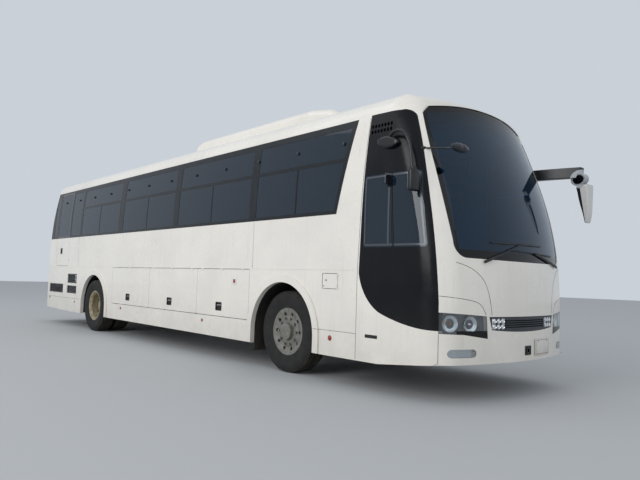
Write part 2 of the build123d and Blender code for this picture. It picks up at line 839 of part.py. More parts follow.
with BuildPart() as front_grille:
    add(glass_back - cavity)
    with BuildSketch(Plane.YZ.offset(bumper_rear_x)):
        grille_region(-seat_gap)
    extrude(amount=500, mode=Mode.INTERSECT)
    with BuildSketch(Plane.YZ.offset(bumper_rear_x)):
        with Locations((0, 790)):
            with GridLocations(0, 22, 1, 4):
                SlotOverall(880, 12)
    extrude(amount=500, mode=Mode.SUBTRACT)
finish(front_grille, "front_grille")

# Black corner panels: the driver's on the right, the entrance surround on the left
for side, name in (("right", "driver_panel"), ("left", "entrance_panel")):
    with BuildPart() as corner_panel:
        add(shell)
        with BuildSketch(Plane.XZ):
            panel_region()
        take_side(side)
        with BuildSketch(Plane.XZ):
            if side == "right":
                outline(*cab_light, corner=30)
            else:
                outline(*door_points, corner=40)
        cut_side(side)
        if side == "right":
            with BuildSketch(Plane.XZ):
                with Locations((4885, 2875)):
                    with GridLocations(46, 62, 7, 2):
                        SlotOverall(44, 30, rotation=90)
            cut_side(side)
        else:
            post_bearing(bearing_z[1])
    finish(corner_panel, name)

# Door leaf: its outline is drawn a running gap inside the opening
with BuildPart() as entrance_door:
    add(shell)
    with BuildSketch(Plane.XZ):
        outline(*door_points, corner=40, grow=-entrance_gap)
    take_side("left")
    for points in (door_glass, door_low_glass):
        with BuildSketch(Plane.XZ):
            outline(*points, corner=30)
        cut_side("left")
    # brackets and pins for the swing arm
    for z in arm_levels:
        for ear_z in (z - 35, z + 27):
            box(
                door_pivot[0] - 26, door_pivot[0] + 26, door_pivot[1], half_width - wall + 5,
                ear_z, ear_z + 8,
            )
            rod((*door_pivot, ear_z), (*door_pivot, ear_z + 8), 26)
        rod((*door_pivot, z - 34), (*door_pivot, z + 34), door_pin_radius)
finish(entrance_door, "entrance_door")

with BuildPart() as entrance_door_glass:
    add(glass_layer)
    with BuildSketch(Plane.XZ):
        for points in (door_glass, door_low_glass):
            outline(*points, corner=30, grow=-seat_gap)
    take_side("left")
finish(entrance_door_glass, "entrance_door_glass")

# Window frames lie in the outer layer, the panes between them
with BuildPart() as window_frames:
    for side in ("right", "left"):
        with BuildPart(mode=Mode.PRIVATE) as frame:
            add(frame_layer)
            with BuildSketch(Plane.XZ):
                band_region()
            take_side(side)
            for pane in light_outlines(side):
                with BuildSketch(Plane.XZ):
                    outline(*pane, corner=18)
                cut_side(side)
            if side == "right":
                with BuildSketch(Plane.XZ):
                    rectangle(*exit_door, exit_door_low_z, exit_door_top_z, grow=0, corner=40)
                cut_side(side)
        add(frame.part)
    with BuildPart(mode=Mode.PRIVATE) as mullion:
        add(frame_layer)
        with BuildSketch(Plane.XZ):
            outline((5124, 1557), (5146, 1557), (5086, 2349), (5064, 2349))
        take_side("right")
    add(mullion.part)
finish(window_frames, "window_frames")

with BuildPart() as side_glass:
    for side in ("right", "left"):
        with BuildPart(mode=Mode.PRIVATE) as panes:
            add(glass_layer)
            with BuildSketch(Plane.XZ):
                for pane in light_outlines(side, seat_gap):
                    outline(*pane, corner=18)
                if side == "right":
                    outline(*cab_light, corner=30, grow=-seat_gap)
                    outline(
                        (5120, 1500), (5150, 1500), (5090, 2400), (5060, 2400), mode=Mode.SUBTRACT
                    )
            take_side(side)
        add(panes.part)
finish(side_glass, "side_glass")

# Inside space: everything in the cabin is trimmed to it
interior = hull(wall + seat_gap)


def trim():
    """Trim the current part to the inside space."""
    add(interior, mode=Mode.INTERSECT)


def profile(*points, y0, y1, mode=Mode.ADD):
    """Extrude a side-view outline across the body from y0 to y1."""
    with BuildSketch(Plane.XZ.offset(-y0)) as side_view:
        outline(*points)
    extrude(side_view.sketch, amount=y0 - y1, mode=mode)


# Luggage doors, hinged along their top edge
for side in ("right", "left"):
    sign = -side_sign(side)
    for bay, x0, x1 in hold_door_bays:
        rear_gap = running_gap if bay == "aft" else running_gap / 2
        front_gap = running_gap if bay == "fore" else running_gap / 2
        with BuildPart() as hold_door:
            add(shell)
            with BuildSketch(Plane.XZ):
                rectangle(
                    x0 + rear_gap, x1 - front_gap, seam_z + hold_low_gap, hold_top_z - running_gap,
                    corner=20,
                )
            take_side(side)
            # latch in its recess
            middle = (x0 + x1) / 2 + latch_shift
            with BuildSketch(Plane.XZ.offset(side_sign(side) * (half_width - latch_depth))):
                rectangle(middle - 75, middle + 75, latch_z - 55, latch_z + 55, corner=14)
            extrude(amount=side_sign(side) * 50, mode=Mode.SUBTRACT)
            with BuildSketch(Plane.XZ.offset(side_sign(side) * (half_width - latch_depth - 1))):
                rectangle(middle - 58, middle + 58, latch_z - 6, latch_z + 22, corner=8)
            extrude(amount=side_sign(side) * (latch_depth - 2))
            hinge_half(
                [(x, sign * hold_hinge_y, hold_hinge_z) for x in hold_hinges(x0, x1)],
                (1, 0, 0), (0, -sign, 0), (0, 0, -1), True,
            )
        finish(hold_door, f"hold_door_{bay}_{side}")

# Rear exit door on the right, hinged at its front edge
with BuildPart() as exit_door_leaf:
    add(shell)
    with BuildSketch(Plane.XZ):
        rectangle(
            exit_door[0] + exit_door_free_gap, exit_door[1] - running_gap,
            exit_door_low_z + running_gap, exit_door_top_z - running_gap, corner=34,
        )
    take_side("right")
    with BuildSketch(Plane.XZ):
        outline(*unit_outline(exit_light, light_low_z, light_top_z), corner=18)
    cut_side("right")
    hinge_half(exit_hinges, (0, 0, 1), (0, 1, 0), (-1, 0, 0), True)
finish(exit_door_leaf, "exit_door")

with BuildPart() as exit_door_glass:
    add(glass_layer)
    with BuildSketch(Plane.XZ):
        outline(*unit_outline(exit_light, light_low_z, light_top_z, seat_gap), corner=18)
    take_side("right")
finish(exit_door_glass, "exit_door_glass")

# Filler flap on the right, hinged at its front edge
with BuildPart() as filler_flap:
    add(shell)
    with BuildSketch(Plane.XZ):
        rectangle(
            flap_x[0] + flap_free_gap, flap_x[1] - running_gap,
            flap_z[0] + running_gap, flap_z[1] - running_gap, corner=8,
        )
    take_side("right")
    hinge_half(flap_hinges, (0, 0, 1), (0, 1, 0), (-1, 0, 0), True)
finish(filler_flap, "filler_flap")

# Louvres in the side walls
with BuildPart() as side_louvres:
    for side in ("right", "left"):
        for x0, x1, z0, z1 in louvre_openings:
            with BuildPart(mode=Mode.PRIVATE) as louvre:
                add(louvre_layer)
                with BuildSketch(Plane.XZ):
                    rectangle(x0, x1, z0, z1, grow=-seat_gap, corner=7.7)
                take_side(side)
                rows = int((z1 - z0 - 30) / louvre_pitch)
                with BuildSketch(Plane.XZ):
                    with Locations(((x0 + x1) / 2, (z0 + z1) / 2)):
                        with GridLocations(0, louvre_pitch, 1, rows):
                            Rectangle(x1 - x0 - 40, louvre_pitch * 0.55)
                cut_side(side)
            add(louvre.part)
finish(side_louvres, "side_louvres")

# Floor of the cabin, with the riser at its front
with BuildPart() as cabin_floor:
    box(-half_length, floor_front_x, -half_width, half_width, floor_z - 65, floor_z)
    box(floor_front_x - 30, floor_front_x, -half_width, half_width, platform_z - 40, floor_z)
    trim()
finish(cabin_floor, "cabin_floor")

# Driver's platform with the entrance steps, seated against the riser
steps_rear_x = floor_front_x + seat_gap
with BuildPart() as entrance_steps:
    box(steps_rear_x, 5640, -half_width, stair_y[-1], platform_z - 40, platform_z)
    # steps down to the entrance on the left
    with BuildSketch(Plane.YZ.offset(steps_rear_x)):
        with BuildLine():
            tread = Polyline(
                (stair_y[0], stair_z[0]), (stair_y[1], stair_z[0]), (stair_y[1], stair_z[1]),
                (stair_y[2], stair_z[1]), (stair_y[2], stair_z[2]), (stair_y[3], stair_z[2]),
                (stair_y[3], platform_z),
            )
            under = Polyline(
                (stair_y[0], stair_z[0] - 30), (stair_y[1] - 30, stair_z[0] - 30),
                (stair_y[1] - 30, stair_z[1] - 30), (stair_y[2] - 30, stair_z[1] - 30),
                (stair_y[2] - 30, stair_z[2] - 30), (stair_y[3] - 30, stair_z[2] - 30),
                (stair_y[3] - 30, platform_z),
            )
            Line(tread @ 0, under @ 0)
            Line(tread @ 1, under @ 1)
        make_face()
    extrude(amount=stair_front_x - steps_rear_x)
    for x, edge_y in ((steps_rear_x, stair_y[0]), (stair_front_x - 20, stair_side_y)):
        with BuildSketch(Plane.YZ.offset(x)):
            outline(
                (edge_y, stair_z[0] - 30), (stair_y[1], stair_z[0] - 30),
                (stair_y[3] - 30, stair_z[2] - 30), (stair_y[3] - 30, platform_z),
                (edge_y, platform_z),
            )
        extrude(amount=20)
    trim()
finish(entrance_steps, "entrance_steps")

# Load space under the floor
with BuildPart() as luggage_hold:
    box(hold_x[0], hold_x[1], -hold_half_width, hold_half_width, *hold_floor_z)
    for x in (hold_x[0], hold_x[1] - 30):
        box(x, x + 30, -hold_half_width, hold_half_width, hold_floor_z[0], floor_under_z)
    box(hold_x[0] + 1, hold_x[1] - 1, -15, 15, hold_floor_z[1] - 10, floor_under_z)
    for x in (hold_door_bays[0][2], hold_door_bays[1][2]):
        for y0, y1 in ((-1185, -1125), (1125, 1185)):
            box(x - 30, x + 30, y0, y1, hold_floor_z[1] - 10, floor_under_z)
    # channel under the floor carries the load of the hold
    for y in (-430, 430):
        box(hold_x[0] + 1, hold_x[1] - 1, y - 45, y + 45, 500, hold_floor_z[0] + 1)
finish(luggage_hold, "luggage_hold")

# Frame rails over the axles, with uprights to the floor
with BuildPart() as chassis_frame:
    for x0, x1 in (front_rails_x, rear_rails_x):
        for y in (-rail_y, rail_y):
            box(x0, x1, y - 45, y + 45, *rail_z)
            low_y, high_y = sorted((y - 60 * y / rail_y, y + 33 * y / rail_y))
            box(x0, x1, low_y, high_y, rail_z[0] + 12, rail_z[1] - 12, Mode.SUBTRACT)
    for x in frame_cross_x:
        box(x - 40, x + 40, -rail_y - 10, rail_y + 10, rail_z[0] + 50, rail_z[1] - 50)
        for y in (-rail_y, rail_y):
            box(x - 40, x + 40, y - 44, y + 44, rail_z[1] - 60, floor_under_z)
finish(chassis_frame, "chassis_frame")

# Liners over the wheels
with BuildPart() as arch_liners:
    for x, inner_y in ((front_axle_x, liner_inner_y), (rear_axle_x, liner_inner_y)):
        for sign in (1, -1):
            with BuildSketch(Plane.XZ.offset(-sign * inner_y)):
                arch_outline(x, liner_grow + 6, skirt_z + 12)
                arch_outline(x, liner_grow, mode=Mode.SUBTRACT)
            extrude(amount=-sign * (half_width - wall - seat_gap - inner_y))
            with BuildSketch(Plane.XZ.offset(-sign * inner_y)):
                arch_outline(x, liner_grow + 6, skirt_z + 12)
                with Locations((x, 500)):
                    Rectangle(480, 600, mode=Mode.SUBTRACT)
            extrude(amount=-sign * 6)
finish(arch_liners, "arch_liners")

# Engine across the tail of the frame
with BuildPart() as engine:
    box(*engine_x, -engine_half_width, engine_half_width, *engine_z)
finish(engine, "engine")


def turned(points):
    """Turn a closed (y, r) outline about the wheel axis in the current part."""
    with BuildSketch(Plane.YZ) as section:
        outline(*[(y, wheel_radius + r) for y, r in points])
    revolve(section.sketch, axis=Axis((0, 0, wheel_radius), (0, 1, 0)))


front_rim_points = [
    # distance along the axle, radius: flanges, well, disc and hub in one ring
    (-115, 272), (-115, 300), (-107, 300), (-107, 286), (-66, 262), (66, 262), (107, 286),
    (107, 300), (115, 300), (112, 274), (92, 200), (104, 150), (104, 112), (150, 104),
    (158, 56), (158, 0), (70, 0), (70, 45.05), (-112, 45.05), (-112, 110), (74, 118),
    (78, 200), (66, 250), (-66, 250),
]
with BuildPart() as front_rim:
    turned(front_rim_points)
    with BuildSketch(Plane.XZ.offset(-beyond)):
        with Locations((0, wheel_radius)):
            with PolarLocations(hand_hole_ring, 10):
                Circle(hand_hole_radius)
    extrude(amount=2 * beyond, mode=Mode.SUBTRACT)
    with BuildSketch(Plane.XZ.offset(-85)):
        with Locations((0, wheel_radius)):
            with PolarLocations(nut_ring, 10):
                RegularPolygon(17, 6)
    extrude(amount=-45)

rear_rim_points = [
    # distance outwards from the face where the two discs meet, radius
    (0, 60.05), (0, 230), (50, 262), (50, 300), (58, 300), (58, 286), (100, 264), (230, 264),
    (272, 286), (272, 300), (280, 300), (278, 276), (236, 252), (60, 250), (14, 214), (14, 128),
    (110, 120), (170, 100), (178, 0), (90, 0), (90, 60.05),
]
inner_rim_points = [(-y, r) for y, r in rear_rim_points[:16]] + [(-250, 125), (-250, 60.05)]
with BuildPart() as rear_rims:
    turned(rear_rim_points)
    turned(inner_rim_points)
    with BuildSketch(Plane.XZ.offset(-beyond)):
        with Locations((0, wheel_radius)):
            with PolarLocations(192, 10):
                Circle(hand_hole_radius - 4)
    extrude(amount=2 * beyond, mode=Mode.SUBTRACT)
    with BuildSketch(Plane.XZ.offset(-12)):
        with Locations((0, wheel_radius)):
            with PolarLocations(nut_ring - 16, 10):
                RegularPolygon(17, 6)
    extrude(amount=-34)

tyre_points = [
    (-106.5, 286.3), (-106.5, 301), (-138, 350), (-146, 420), (-136, 490), (-112, 517),
    (112, 517), (136, 490), (146, 420), (138, 350), (106.5, 301), (106.5, 286.3), (90, 286.3),
    (126, 390), (104, 486), (-104, 486), (-126, 390), (-90, 286.3),
]
with BuildPart() as tyre:
    turned(tyre_points)

for side, sign in (("right", -1), ("left", 1)):
    with BuildPart() as wheel:
        with Locations((front_axle_x, sign * front_tyre_y, 0)):
            add(front_rim.part if sign > 0 else mirror(front_rim.part, Plane.XZ, mode=Mode.PRIVATE))
    finish(wheel, f"front_rim_{side}")
    with BuildPart() as rubber:
        with Locations((front_axle_x, sign * front_tyre_y, 0)):
            add(tyre.part)
    finish(rubber, f"front_tyre_{side}")
    with BuildPart() as twin_wheel:
        with Locations((rear_axle_x, sign * (rear_outer_y - twin_spacing / 2), 0)):
            add(rear_rims.part if sign > 0 else mirror(rear_rims.part, Plane.XZ, mode=Mode.PRIVATE))
    finish(twin_wheel, f"rear_rims_{side}")
    with BuildPart() as twin_rubber:
        with Locations(
            (rear_axle_x, sign * rear_outer_y, 0), (rear_axle_x, sign * (rear_outer_y - twin_spacing), 0)
        ):
            add(tyre.part)
    finish(twin_rubber, f"rear_tyres_{side}")
    # knuckle: fork over the end of the beam, then the stub
    with BuildPart() as knuckle:
        y0, y1 = sorted((sign * 755, sign * 885))
        for z0, z1 in ((wheel_radius + 55, wheel_radius + 85), (wheel_radius - 85, wheel_radius - 55)):
            box(front_axle_x - 45, front_axle_x + 45, y0, y1, z0, z1)
        y0, y1 = sorted((sign * 860, sign * 890))
        box(front_axle_x - 60, front_axle_x + 60, y0, y1, wheel_radius - 90, wheel_radius + 90)
        rod((front_axle_x, sign * 880, wheel_radius), (front_axle_x, sign * 1085, wheel_radius), stub_radius)
        rod((front_axle_x, sign * kingpin_y, wheel_radius - 80), (front_axle_x, sign * kingpin_y, wheel_radius + 80), kingpin_radius)
    finish(knuckle, f"knuckle_{side}")

# Front beam with kingpin eyes, seats for the air springs
with BuildPart() as front_axle:
    box(front_axle_x - 40, front_axle_x + 40, -kingpin_y + 20, kingpin_y - 20, 477, 557)
    for y in (-kingpin_y, kingpin_y):
        rod((front_axle_x, y, wheel_radius - 50), (front_axle_x, y, wheel_radius + 50), 50)
        rod((front_axle_x, y, wheel_radius - 60), (front_axle_x, y, wheel_radius + 60), kingpin_radius + stub_clearance, Mode.SUBTRACT)
    for y in (-rail_y, rail_y):
        rod((front_axle_x, y, 550), (front_axle_x, y, rail_z[0] - seat_gap), 85)
finish(front_axle, "front_axle")

# Rear axle with its differential and trailing beams
with BuildPart() as rear_axle:
    rod((rear_axle_x, -1015, wheel_radius), (rear_axle_x, 1015, wheel_radius), 60)
    rod((rear_axle_x, -560, wheel_radius), (rear_axle_x, 560, wheel_radius), 80)
    rod((rear_axle_x, -130, wheel_radius), (rear_axle_x, 130, wheel_radius), 205)
    for y in (-rail_y, rail_y):
        box(rear_axle_x - 520, rear_axle_x + 520, y - 35, y + 35, 420, 480)
        for x in (rear_axle_x - 460, rear_axle_x + 460):
            rod((x, y, 470), (x, y, rail_z[0] - seat_gap), 44)
finish(rear_axle, "rear_axle")

# Arm that swings the entrance door out
with BuildPart() as door_arm:
    rod((*door_post, post_z[0]), (*door_post, post_z[1]), arm_radius)
    for z in arm_levels:
        bends = [(0, 0), (-59.9, -164.4), (-129.9, -181.5), (-398.5, -34.9)]
        for a, b in zip(bends, bends[1:]):
            rod((door_post[0] + a[0], door_post[1] + a[1], z), (door_post[0] + b[0], door_post[1] + b[1], z), arm_radius)
            with Locations((door_post[0] + a[0], door_post[1] + a[1], z)):
                Sphere(arm_radius) if a != (0, 0) else Cylinder(arm_radius + 8, 50)
        rod((*door_pivot, z - 22), (*door_pivot, z + 22), 26)
        rod((*door_pivot, z - 40), (*door_pivot, z + 40), 10 + stub_clearance, Mode.SUBTRACT)
finish(door_arm, "door_arm")

def on_column(reach):
    """The point on the steering axis at a distance past the head of the column."""
    along = (Vector(*column_head) - Vector(*column_foot)).normalized()
    return tuple(Vector(*column_head) + along * reach)


# Dashboard across the front of the driver's place
with BuildPart() as dashboard:
    profile(
        (5330, 1010), (5330, 1330), (5420, 1430), (5700, 1400), (5720, 1010),
        y0=-1150, y1=-60,
    )
    profile((5540, 1010), (5540, 1380), (5700, 1360), (5720, 1010), y0=-61, y1=1150)
    rod(column_foot, column_head, 38)
    rod(on_column(-75), on_column(10), steering_shaft_radius + stub_clearance, Mode.SUBTRACT)
    trim()
finish(dashboard, "dashboard")

with BuildPart() as steering_wheel:
    rod(on_column(-40), on_column(140), steering_shaft_radius)
    with Locations(Plane(origin=on_column(160), z_dir=Vector(*column_head) - Vector(*column_foot))):
        with BuildSketch(Plane.XZ, mode=Mode.PRIVATE) as rim_section:
            with Locations((215, 0)):
                RegularPolygon(16, 8)
        add(revolve(rim_section.sketch, axis=Axis.Z, mode=Mode.PRIVATE))
        with Locations((0, 0, -30)):
            Cylinder(60, 50)
        for turn in (90, 210, 330):
            with Locations(Rotation(0, 0, turn)):
                with Locations((120, 0, -12)):
                    Box(200, 34, 14)
finish(steering_wheel, "steering_wheel")

# Seats: one pair, repeated in rows
with BuildPart() as seat_pair:
    for y in (-222, 222):
        with BuildSketch(Plane.XZ.offset(-y + 215)):
            with BuildLine() as border:
                Polyline(
                    (0, 330), (430, 330), (450, 430), (60, 430), (-60, 1080), (-190, 1100), (-60, 330), close=True
                )
            fill(border)
        extrude(amount=-430)
    box(60, 300, -300, -260, 0, 340)
    box(60, 300, 260, 300, 0, 340)
with BuildPart() as seats:
    for row in range(seat_rows):
        x = seat_front_x - row * seat_pitch
        for y in (-seat_y, seat_y):
            with Locations((x, y, floor_z + seat_gap)):
                add(seat_pair.part)
    # driver's seat on its platform
    with BuildSketch(Plane.XZ.offset(380)):
        outline((4690, 1440), (5080, 1440), (5090, 1530), (4760, 1530), (4680, 2150), (4600, 2150), (4640, 1440))
    extrude(amount=480)
    box(4720, 5020, -770, -470, platform_z + seat_gap, 1441)
finish(seats, "seats")

# Cooler on the roof
with BuildPart() as roof_cooler:
    with BuildSketch(Plane.XZ.offset(-cooler_half_width)):
        with BuildLine() as border:
            Polyline((0, 3250), (150, 3450), (330, 3500), (3150, 3500), (3560, 3440), (3900, 3270), (3900, 3200), (0, 3200), close=True)
        fill(border)
    extrude(amount=2 * cooler_half_width)
    edges = roof_cooler.edges().filter_by(lambda e: e.center().Z > 3300 and abs(abs(e.center().Y) - cooler_half_width) < 1)
    fillet(edges, 90)
    add(hull(-seat_gap), mode=Mode.SUBTRACT)
finish(roof_cooler, "roof_cooler")

# Mirrors on their arms
with BuildPart() as mirrors:
    # left: arm from the front corner to the main head
    with BuildSketch(Plane.YZ.offset(5340)):
        with Locations((1160, 2600)):
            RectangleRounded(90, 110, 30)
    extrude(amount=300)
    rod((5600, 1180, 2600), (5930, 1270, 2590), 45)
    rod((5930, 1270, 2590), (6010, 1290, 2440), 40)
    with Locations((6000, 1290, 2205)):
        Box(150, 190, 470)
    # right: stay from the corner panel
    rod((5040, -1130, 2700), (5240, -1280, 2760), 22)
    rod((5240, -1280, 2760), (5400, -1300, 2560), 22)
    rod((5400, -1300, 2560), (5440, -1300, 2200), 22)
    with Locations((5470, -1300, 2225)):
        Box(90, 170, 330)
    add(hull(-seat_gap), mode=Mode.SUBTRACT)
finish(mirrors, "mirrors")

# Rear number plate with its two fixing holes
with BuildPart() as number_plates:
    plate_x = -half_length + plate_recess - seat_gap
    box(plate_x - 4, plate_x, -165, 165, rear_plate_z[0] + 3, rear_plate_z[1] - 3)
    for y in (-plate_hole_y, plate_hole_y):
        rod((plate_x - 10, y, plate_hole_z), (plate_x + 10, y, plate_hole_z), plate_hole_radius, Mode.SUBTRACT)
finish(number_plates, "number_plates")
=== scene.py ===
from math import asin, cos, pi, radians, sin

import bmesh
import bpy
from mathutils import Matrix, Vector


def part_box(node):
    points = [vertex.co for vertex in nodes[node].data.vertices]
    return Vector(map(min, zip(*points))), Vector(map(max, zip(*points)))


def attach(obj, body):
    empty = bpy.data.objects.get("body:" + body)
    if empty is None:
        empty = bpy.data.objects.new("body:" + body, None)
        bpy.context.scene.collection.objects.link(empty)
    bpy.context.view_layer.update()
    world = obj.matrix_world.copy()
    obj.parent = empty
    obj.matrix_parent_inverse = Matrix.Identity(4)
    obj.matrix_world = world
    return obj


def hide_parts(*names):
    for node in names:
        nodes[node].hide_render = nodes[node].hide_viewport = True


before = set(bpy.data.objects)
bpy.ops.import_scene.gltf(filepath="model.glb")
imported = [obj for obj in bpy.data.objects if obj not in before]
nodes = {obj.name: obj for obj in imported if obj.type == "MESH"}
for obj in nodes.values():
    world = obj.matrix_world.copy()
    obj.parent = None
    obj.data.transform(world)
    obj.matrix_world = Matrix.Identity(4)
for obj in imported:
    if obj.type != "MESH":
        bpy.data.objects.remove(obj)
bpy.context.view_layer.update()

# Sizes and places of the coach, in metres. +X forward, +Y left, +Z up
sides = (("right", -1), ("left", 1))
# outer face of the side walls, and a plane 0.2 mm under it where lamps and plates begin
side_y = 1.245
skin_y = 1.2448
front_axle_x = 3.275
rear_axle_x = -3.025
wheel_radius = 0.517
front_tyre_y = 1.022
rear_tyre_ys = (1.094, 0.764)
window_band_z = (1.955, 3.037)
floor_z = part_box("cabin_floor")[1][2]

# The front of the nose is an upright drum about bow_x
bow_x = 2.776
bow_radius = 3.2
front_plate_yz = (0.305, 0.532)
rear_plate_yz = (0.0, 0.522)

# Mirrors: the round wide view head and the long one on the left arm, the round one under the right
wide_head_at = (5.952, 1.262, 2.512)
wide_head_turn = radians(-14)
wide_head_width = 1.42
long_head_z = (1.978, 2.445)
long_head_front_x = 6.058
long_head_half = 0.066
under_head_at = (5.79, -1.01, 2.552)

# Camera where the photo was taken
camera_at = (9.36256, -5.97638, 1.19309)
yaw, pitch, roll = radians(-48.7071), radians(3.7334), radians(1.7692)
ahead = Vector((sin(yaw) * cos(pitch), cos(yaw) * cos(pitch), sin(pitch)))
right = Vector((cos(yaw), -sin(yaw), 0))
up = right.cross(ahead)
across = cos(roll) * right + sin(roll) * up
above = -sin(roll) * right + cos(roll) * up
bpy.ops.object.camera_add()
camera = bpy.context.object
camera.matrix_world = Matrix.Translation(camera_at) @ Matrix(
    [[across[i], above[i], -ahead[i], 0] for i in range(3)] + [[0, 0, 0, 1]]
)
camera.data.lens = 33.874
camera.data.sensor_width = 36
bpy.context.scene.camera = camera
bpy.context.scene.view_settings.view_transform = "Standard"


def linear(hex_colour):
    """An sRGB hex colour as linear RGBA."""
    parts = [int(hex_colour[i:i + 2], 16) / 255 for i in (0, 2, 4)]
    return [c / 12.92 if c <= 0.04045 else ((c + 0.055) / 1.055) ** 2.4 for c in parts] + [1.0]


def add_node(tree, kind, inputs=None, **settings):
    """Add one shader node with its settings, values and links."""
    node = tree.nodes.new(kind)
    for key, value in settings.items():
        setattr(node, key, value)
    for key, value in (inputs or {}).items():
        if isinstance(value, bpy.types.NodeSocket):
            tree.links.new(value, node.inputs[key])
        else:
            node.inputs[key].default_value = value
    return node


def material(name, colour, roughness, metallic=0.0, **extra):
    """A material in its base colour, before dust, wear and grain are laid on."""
    mat = bpy.data.materials.new(name)
    mat.use_nodes = True
    shader = mat.node_tree.nodes["Principled BSDF"]
    shader.inputs["Base Color"].default_value = linear(colour)
    shader.inputs["Roughness"].default_value = roughness
    shader.inputs["Metallic"].default_value = metallic
    for key, value in extra.items():
        shader.inputs[key.replace("_", " ")].default_value = value
    return mat


def place_of(mat):
    """Where a point of the surface lies on the coach, in metres."""
    found = [n for n in mat.node_tree.nodes if n.type == "TEX_COORD"]
    spot = found[0] if found else add_node(mat.node_tree, "ShaderNodeTexCoord")
    return spot.outputs["Object"]


def sums(mat, operation, first, second=0.0, third=0.0):
    """One step of arithmetic between sockets or numbers."""
    return add_node(
        mat.node_tree, "ShaderNodeMath", {0: first, 1: second, 2: third}, operation=operation
    ).outputs[0]


def axes_of(mat):
    """The place of a surface point as three sockets."""
    return add_node(mat.node_tree, "ShaderNodeSeparateXYZ", {0: place_of(mat)}).outputs


def patches(mat, size_m, detail=4.0, stretch=(1, 1, 1)):
    """Cloudy patches from 0 to 1, size_m across."""
    scaled = add_node(
        mat.node_tree, "ShaderNodeMapping", {"Vector": place_of(mat), "Scale": stretch}
    )
    return add_node(
        mat.node_tree, "ShaderNodeTexNoise",
        {"Vector": scaled.outputs[0], "Scale": 1 / size_m, "Detail": detail, "Roughness": 0.6},
    ).outputs[0]


def between(mat, value, low, high, at_low=0.0, at_high=1.0):
    """Run from at_low to at_high while value goes from low to high."""
    return add_node(
        mat.node_tree, "ShaderNodeMapRange",
        {"Value": value, "From Min": low, "From Max": high, "To Min": at_low, "To Max": at_high},
    ).outputs[0]


def in_box(mat, low, high):
    """1 inside a box of the coach's own space, 0 outside."""
    inside = 1.0
    for axis, start, end in zip(axes_of(mat), low, high):
        centred = sums(mat, "SUBTRACT", axis, (start + end) / 2)
        near = sums(mat, "LESS_THAN", sums(mat, "ABSOLUTE", centred), (end - start) / 2)
        inside = sums(mat, "MULTIPLY", near, inside)
    return inside


def in_ball(mat, centre, radius):
    """1 inside a ball of the coach's own space, 0 outside."""
    apart = add_node(
        mat.node_tree, "ShaderNodeVectorMath", {0: place_of(mat), 1: centre}, operation="DISTANCE"
    )
    return sums(mat, "LESS_THAN", apart.outputs["Value"], radius)


def tint(mat, colour, amount):
    """Lay another colour over the base, as strongly as amount says."""
    tree = mat.node_tree
    base = tree.nodes["Principled BSDF"].inputs["Base Color"]
    under = base.links[0].from_socket if base.links else tuple(base.default_value)
    mix = add_node(
        tree, "ShaderNodeMix", {0: amount, 6: under, 7: linear(colour)}, data_type="RGBA"
    )
    tree.links.new(mix.outputs[2], base)
    return mat


def drive(mat, socket, value):
    """Let a socket of the shader follow a pattern."""
    mat.node_tree.links.new(value, mat.node_tree.nodes["Principled BSDF"].inputs[socket])
    return mat


def relief(mat, height, depth_m, strength=1.0):
    """Raise the surface by depth_m where height is 1."""
    tree = mat.node_tree
    normal = tree.nodes["Principled BSDF"].inputs["Normal"]
    inputs = {"Height": height, "Distance": depth_m, "Strength": strength}
    if normal.links:
        inputs["Normal"] = normal.links[0].from_socket
    tree.links.new(add_node(tree, "ShaderNodeBump", inputs).outputs[0], normal)
    return mat


def dusty(mat, dust, low_m, high_m, most, grain_m):
    """Road dust that thins out upwards from low_m to high_m, in patches of grain_m."""
    height = between(mat, axes_of(mat)[2], low_m, high_m, most, 0.0)
    cloud = between(mat, patches(mat, grain_m), 0.3, 0.7, 0.35, 1.0)
    return tint(mat, dust, sums(mat, "MULTIPLY", height, cloud))


# White coach enamel: sprayed two-pack paint, glossy, with faint waves of the sheet under it,
# rain streaks down the sides and road dust towards the skirt
white = material("white coach enamel", "EDE7DD", 0.2, Coat_Weight=0.4, Coat_Roughness=0.06)
tint(white, "D9D4CC", between(white, patches(white, 0.9), 0.42, 0.75, 0.0, 0.5))
tint(white, "B9B1A6", between(white, patches(white, 0.05, 3.0, (1, 1, 0.05)), 0.56, 0.8, 0.0, 0.22))
dusty(white, "8A8073", 0.3, 0.9, 0.25, 0.25)
drive(white, "Roughness", between(white, patches(white, 0.35), 0.3, 0.75, 0.16, 0.34))
relief(white, patches(white, 0.45, 1.0), 0.004, 0.25)
# the square round the towing socket is moulded black
tint(white, "0B0C0E", in_box(white, (5.9, -0.057, 0.46), (6.1, 0.057, 0.551)))

# The same enamel on the exit door, which is black along the window band
banded = white.copy()
banded.name = "white coach enamel with black band"
band_low_z, band_top_z = window_band_z
tint(banded, "0B0D10", in_box(banded, (-5.5, -1.4, band_low_z), (-4.5, -1.0, band_top_z)))

# Plate bracket: grey-white moulded ABS, satin from its fine grain, dusty
trim = material("white moulded trim", "DAD8D2", 0.4)
dusty(trim, "8A8073", 0.3, 0.9, 0.6, 0.1)
relief(trim, patches(trim, 0.006, 2.0), 0.0004, 0.3)

# Corner panels: black gloss enamel, sprayed, its shine dulled in clouds by a thin film of dust
# the same enamel is used for the wide view mirror's glass, where its black is a painted dark reflection
black = material("black gloss enamel", "05070C", 0.12, Specular_IOR_Level=0.25)
tint(black, "10141B", between(black, patches(black, 0.2), 0.5, 0.8, 0.0, 0.35))
dusty(black, "5B564E", 0.3, 1.0, 0.15, 0.2)
drive(black, "Roughness", between(black, patches(black, 0.3), 0.35, 0.7, 0.16, 0.3))

# Window band: drawn aluminium, anodised black, satin with fine lines along its length
band = material("black anodised aluminium", "14171B", 0.28, 0.35)
tint(band, "24292F", between(band, patches(band, 0.25), 0.4, 0.75, 0.0, 0.5))
relief(band, patches(band, 0.004, 2.0, (0.02, 1, 1)), 0.0004, 0.3)
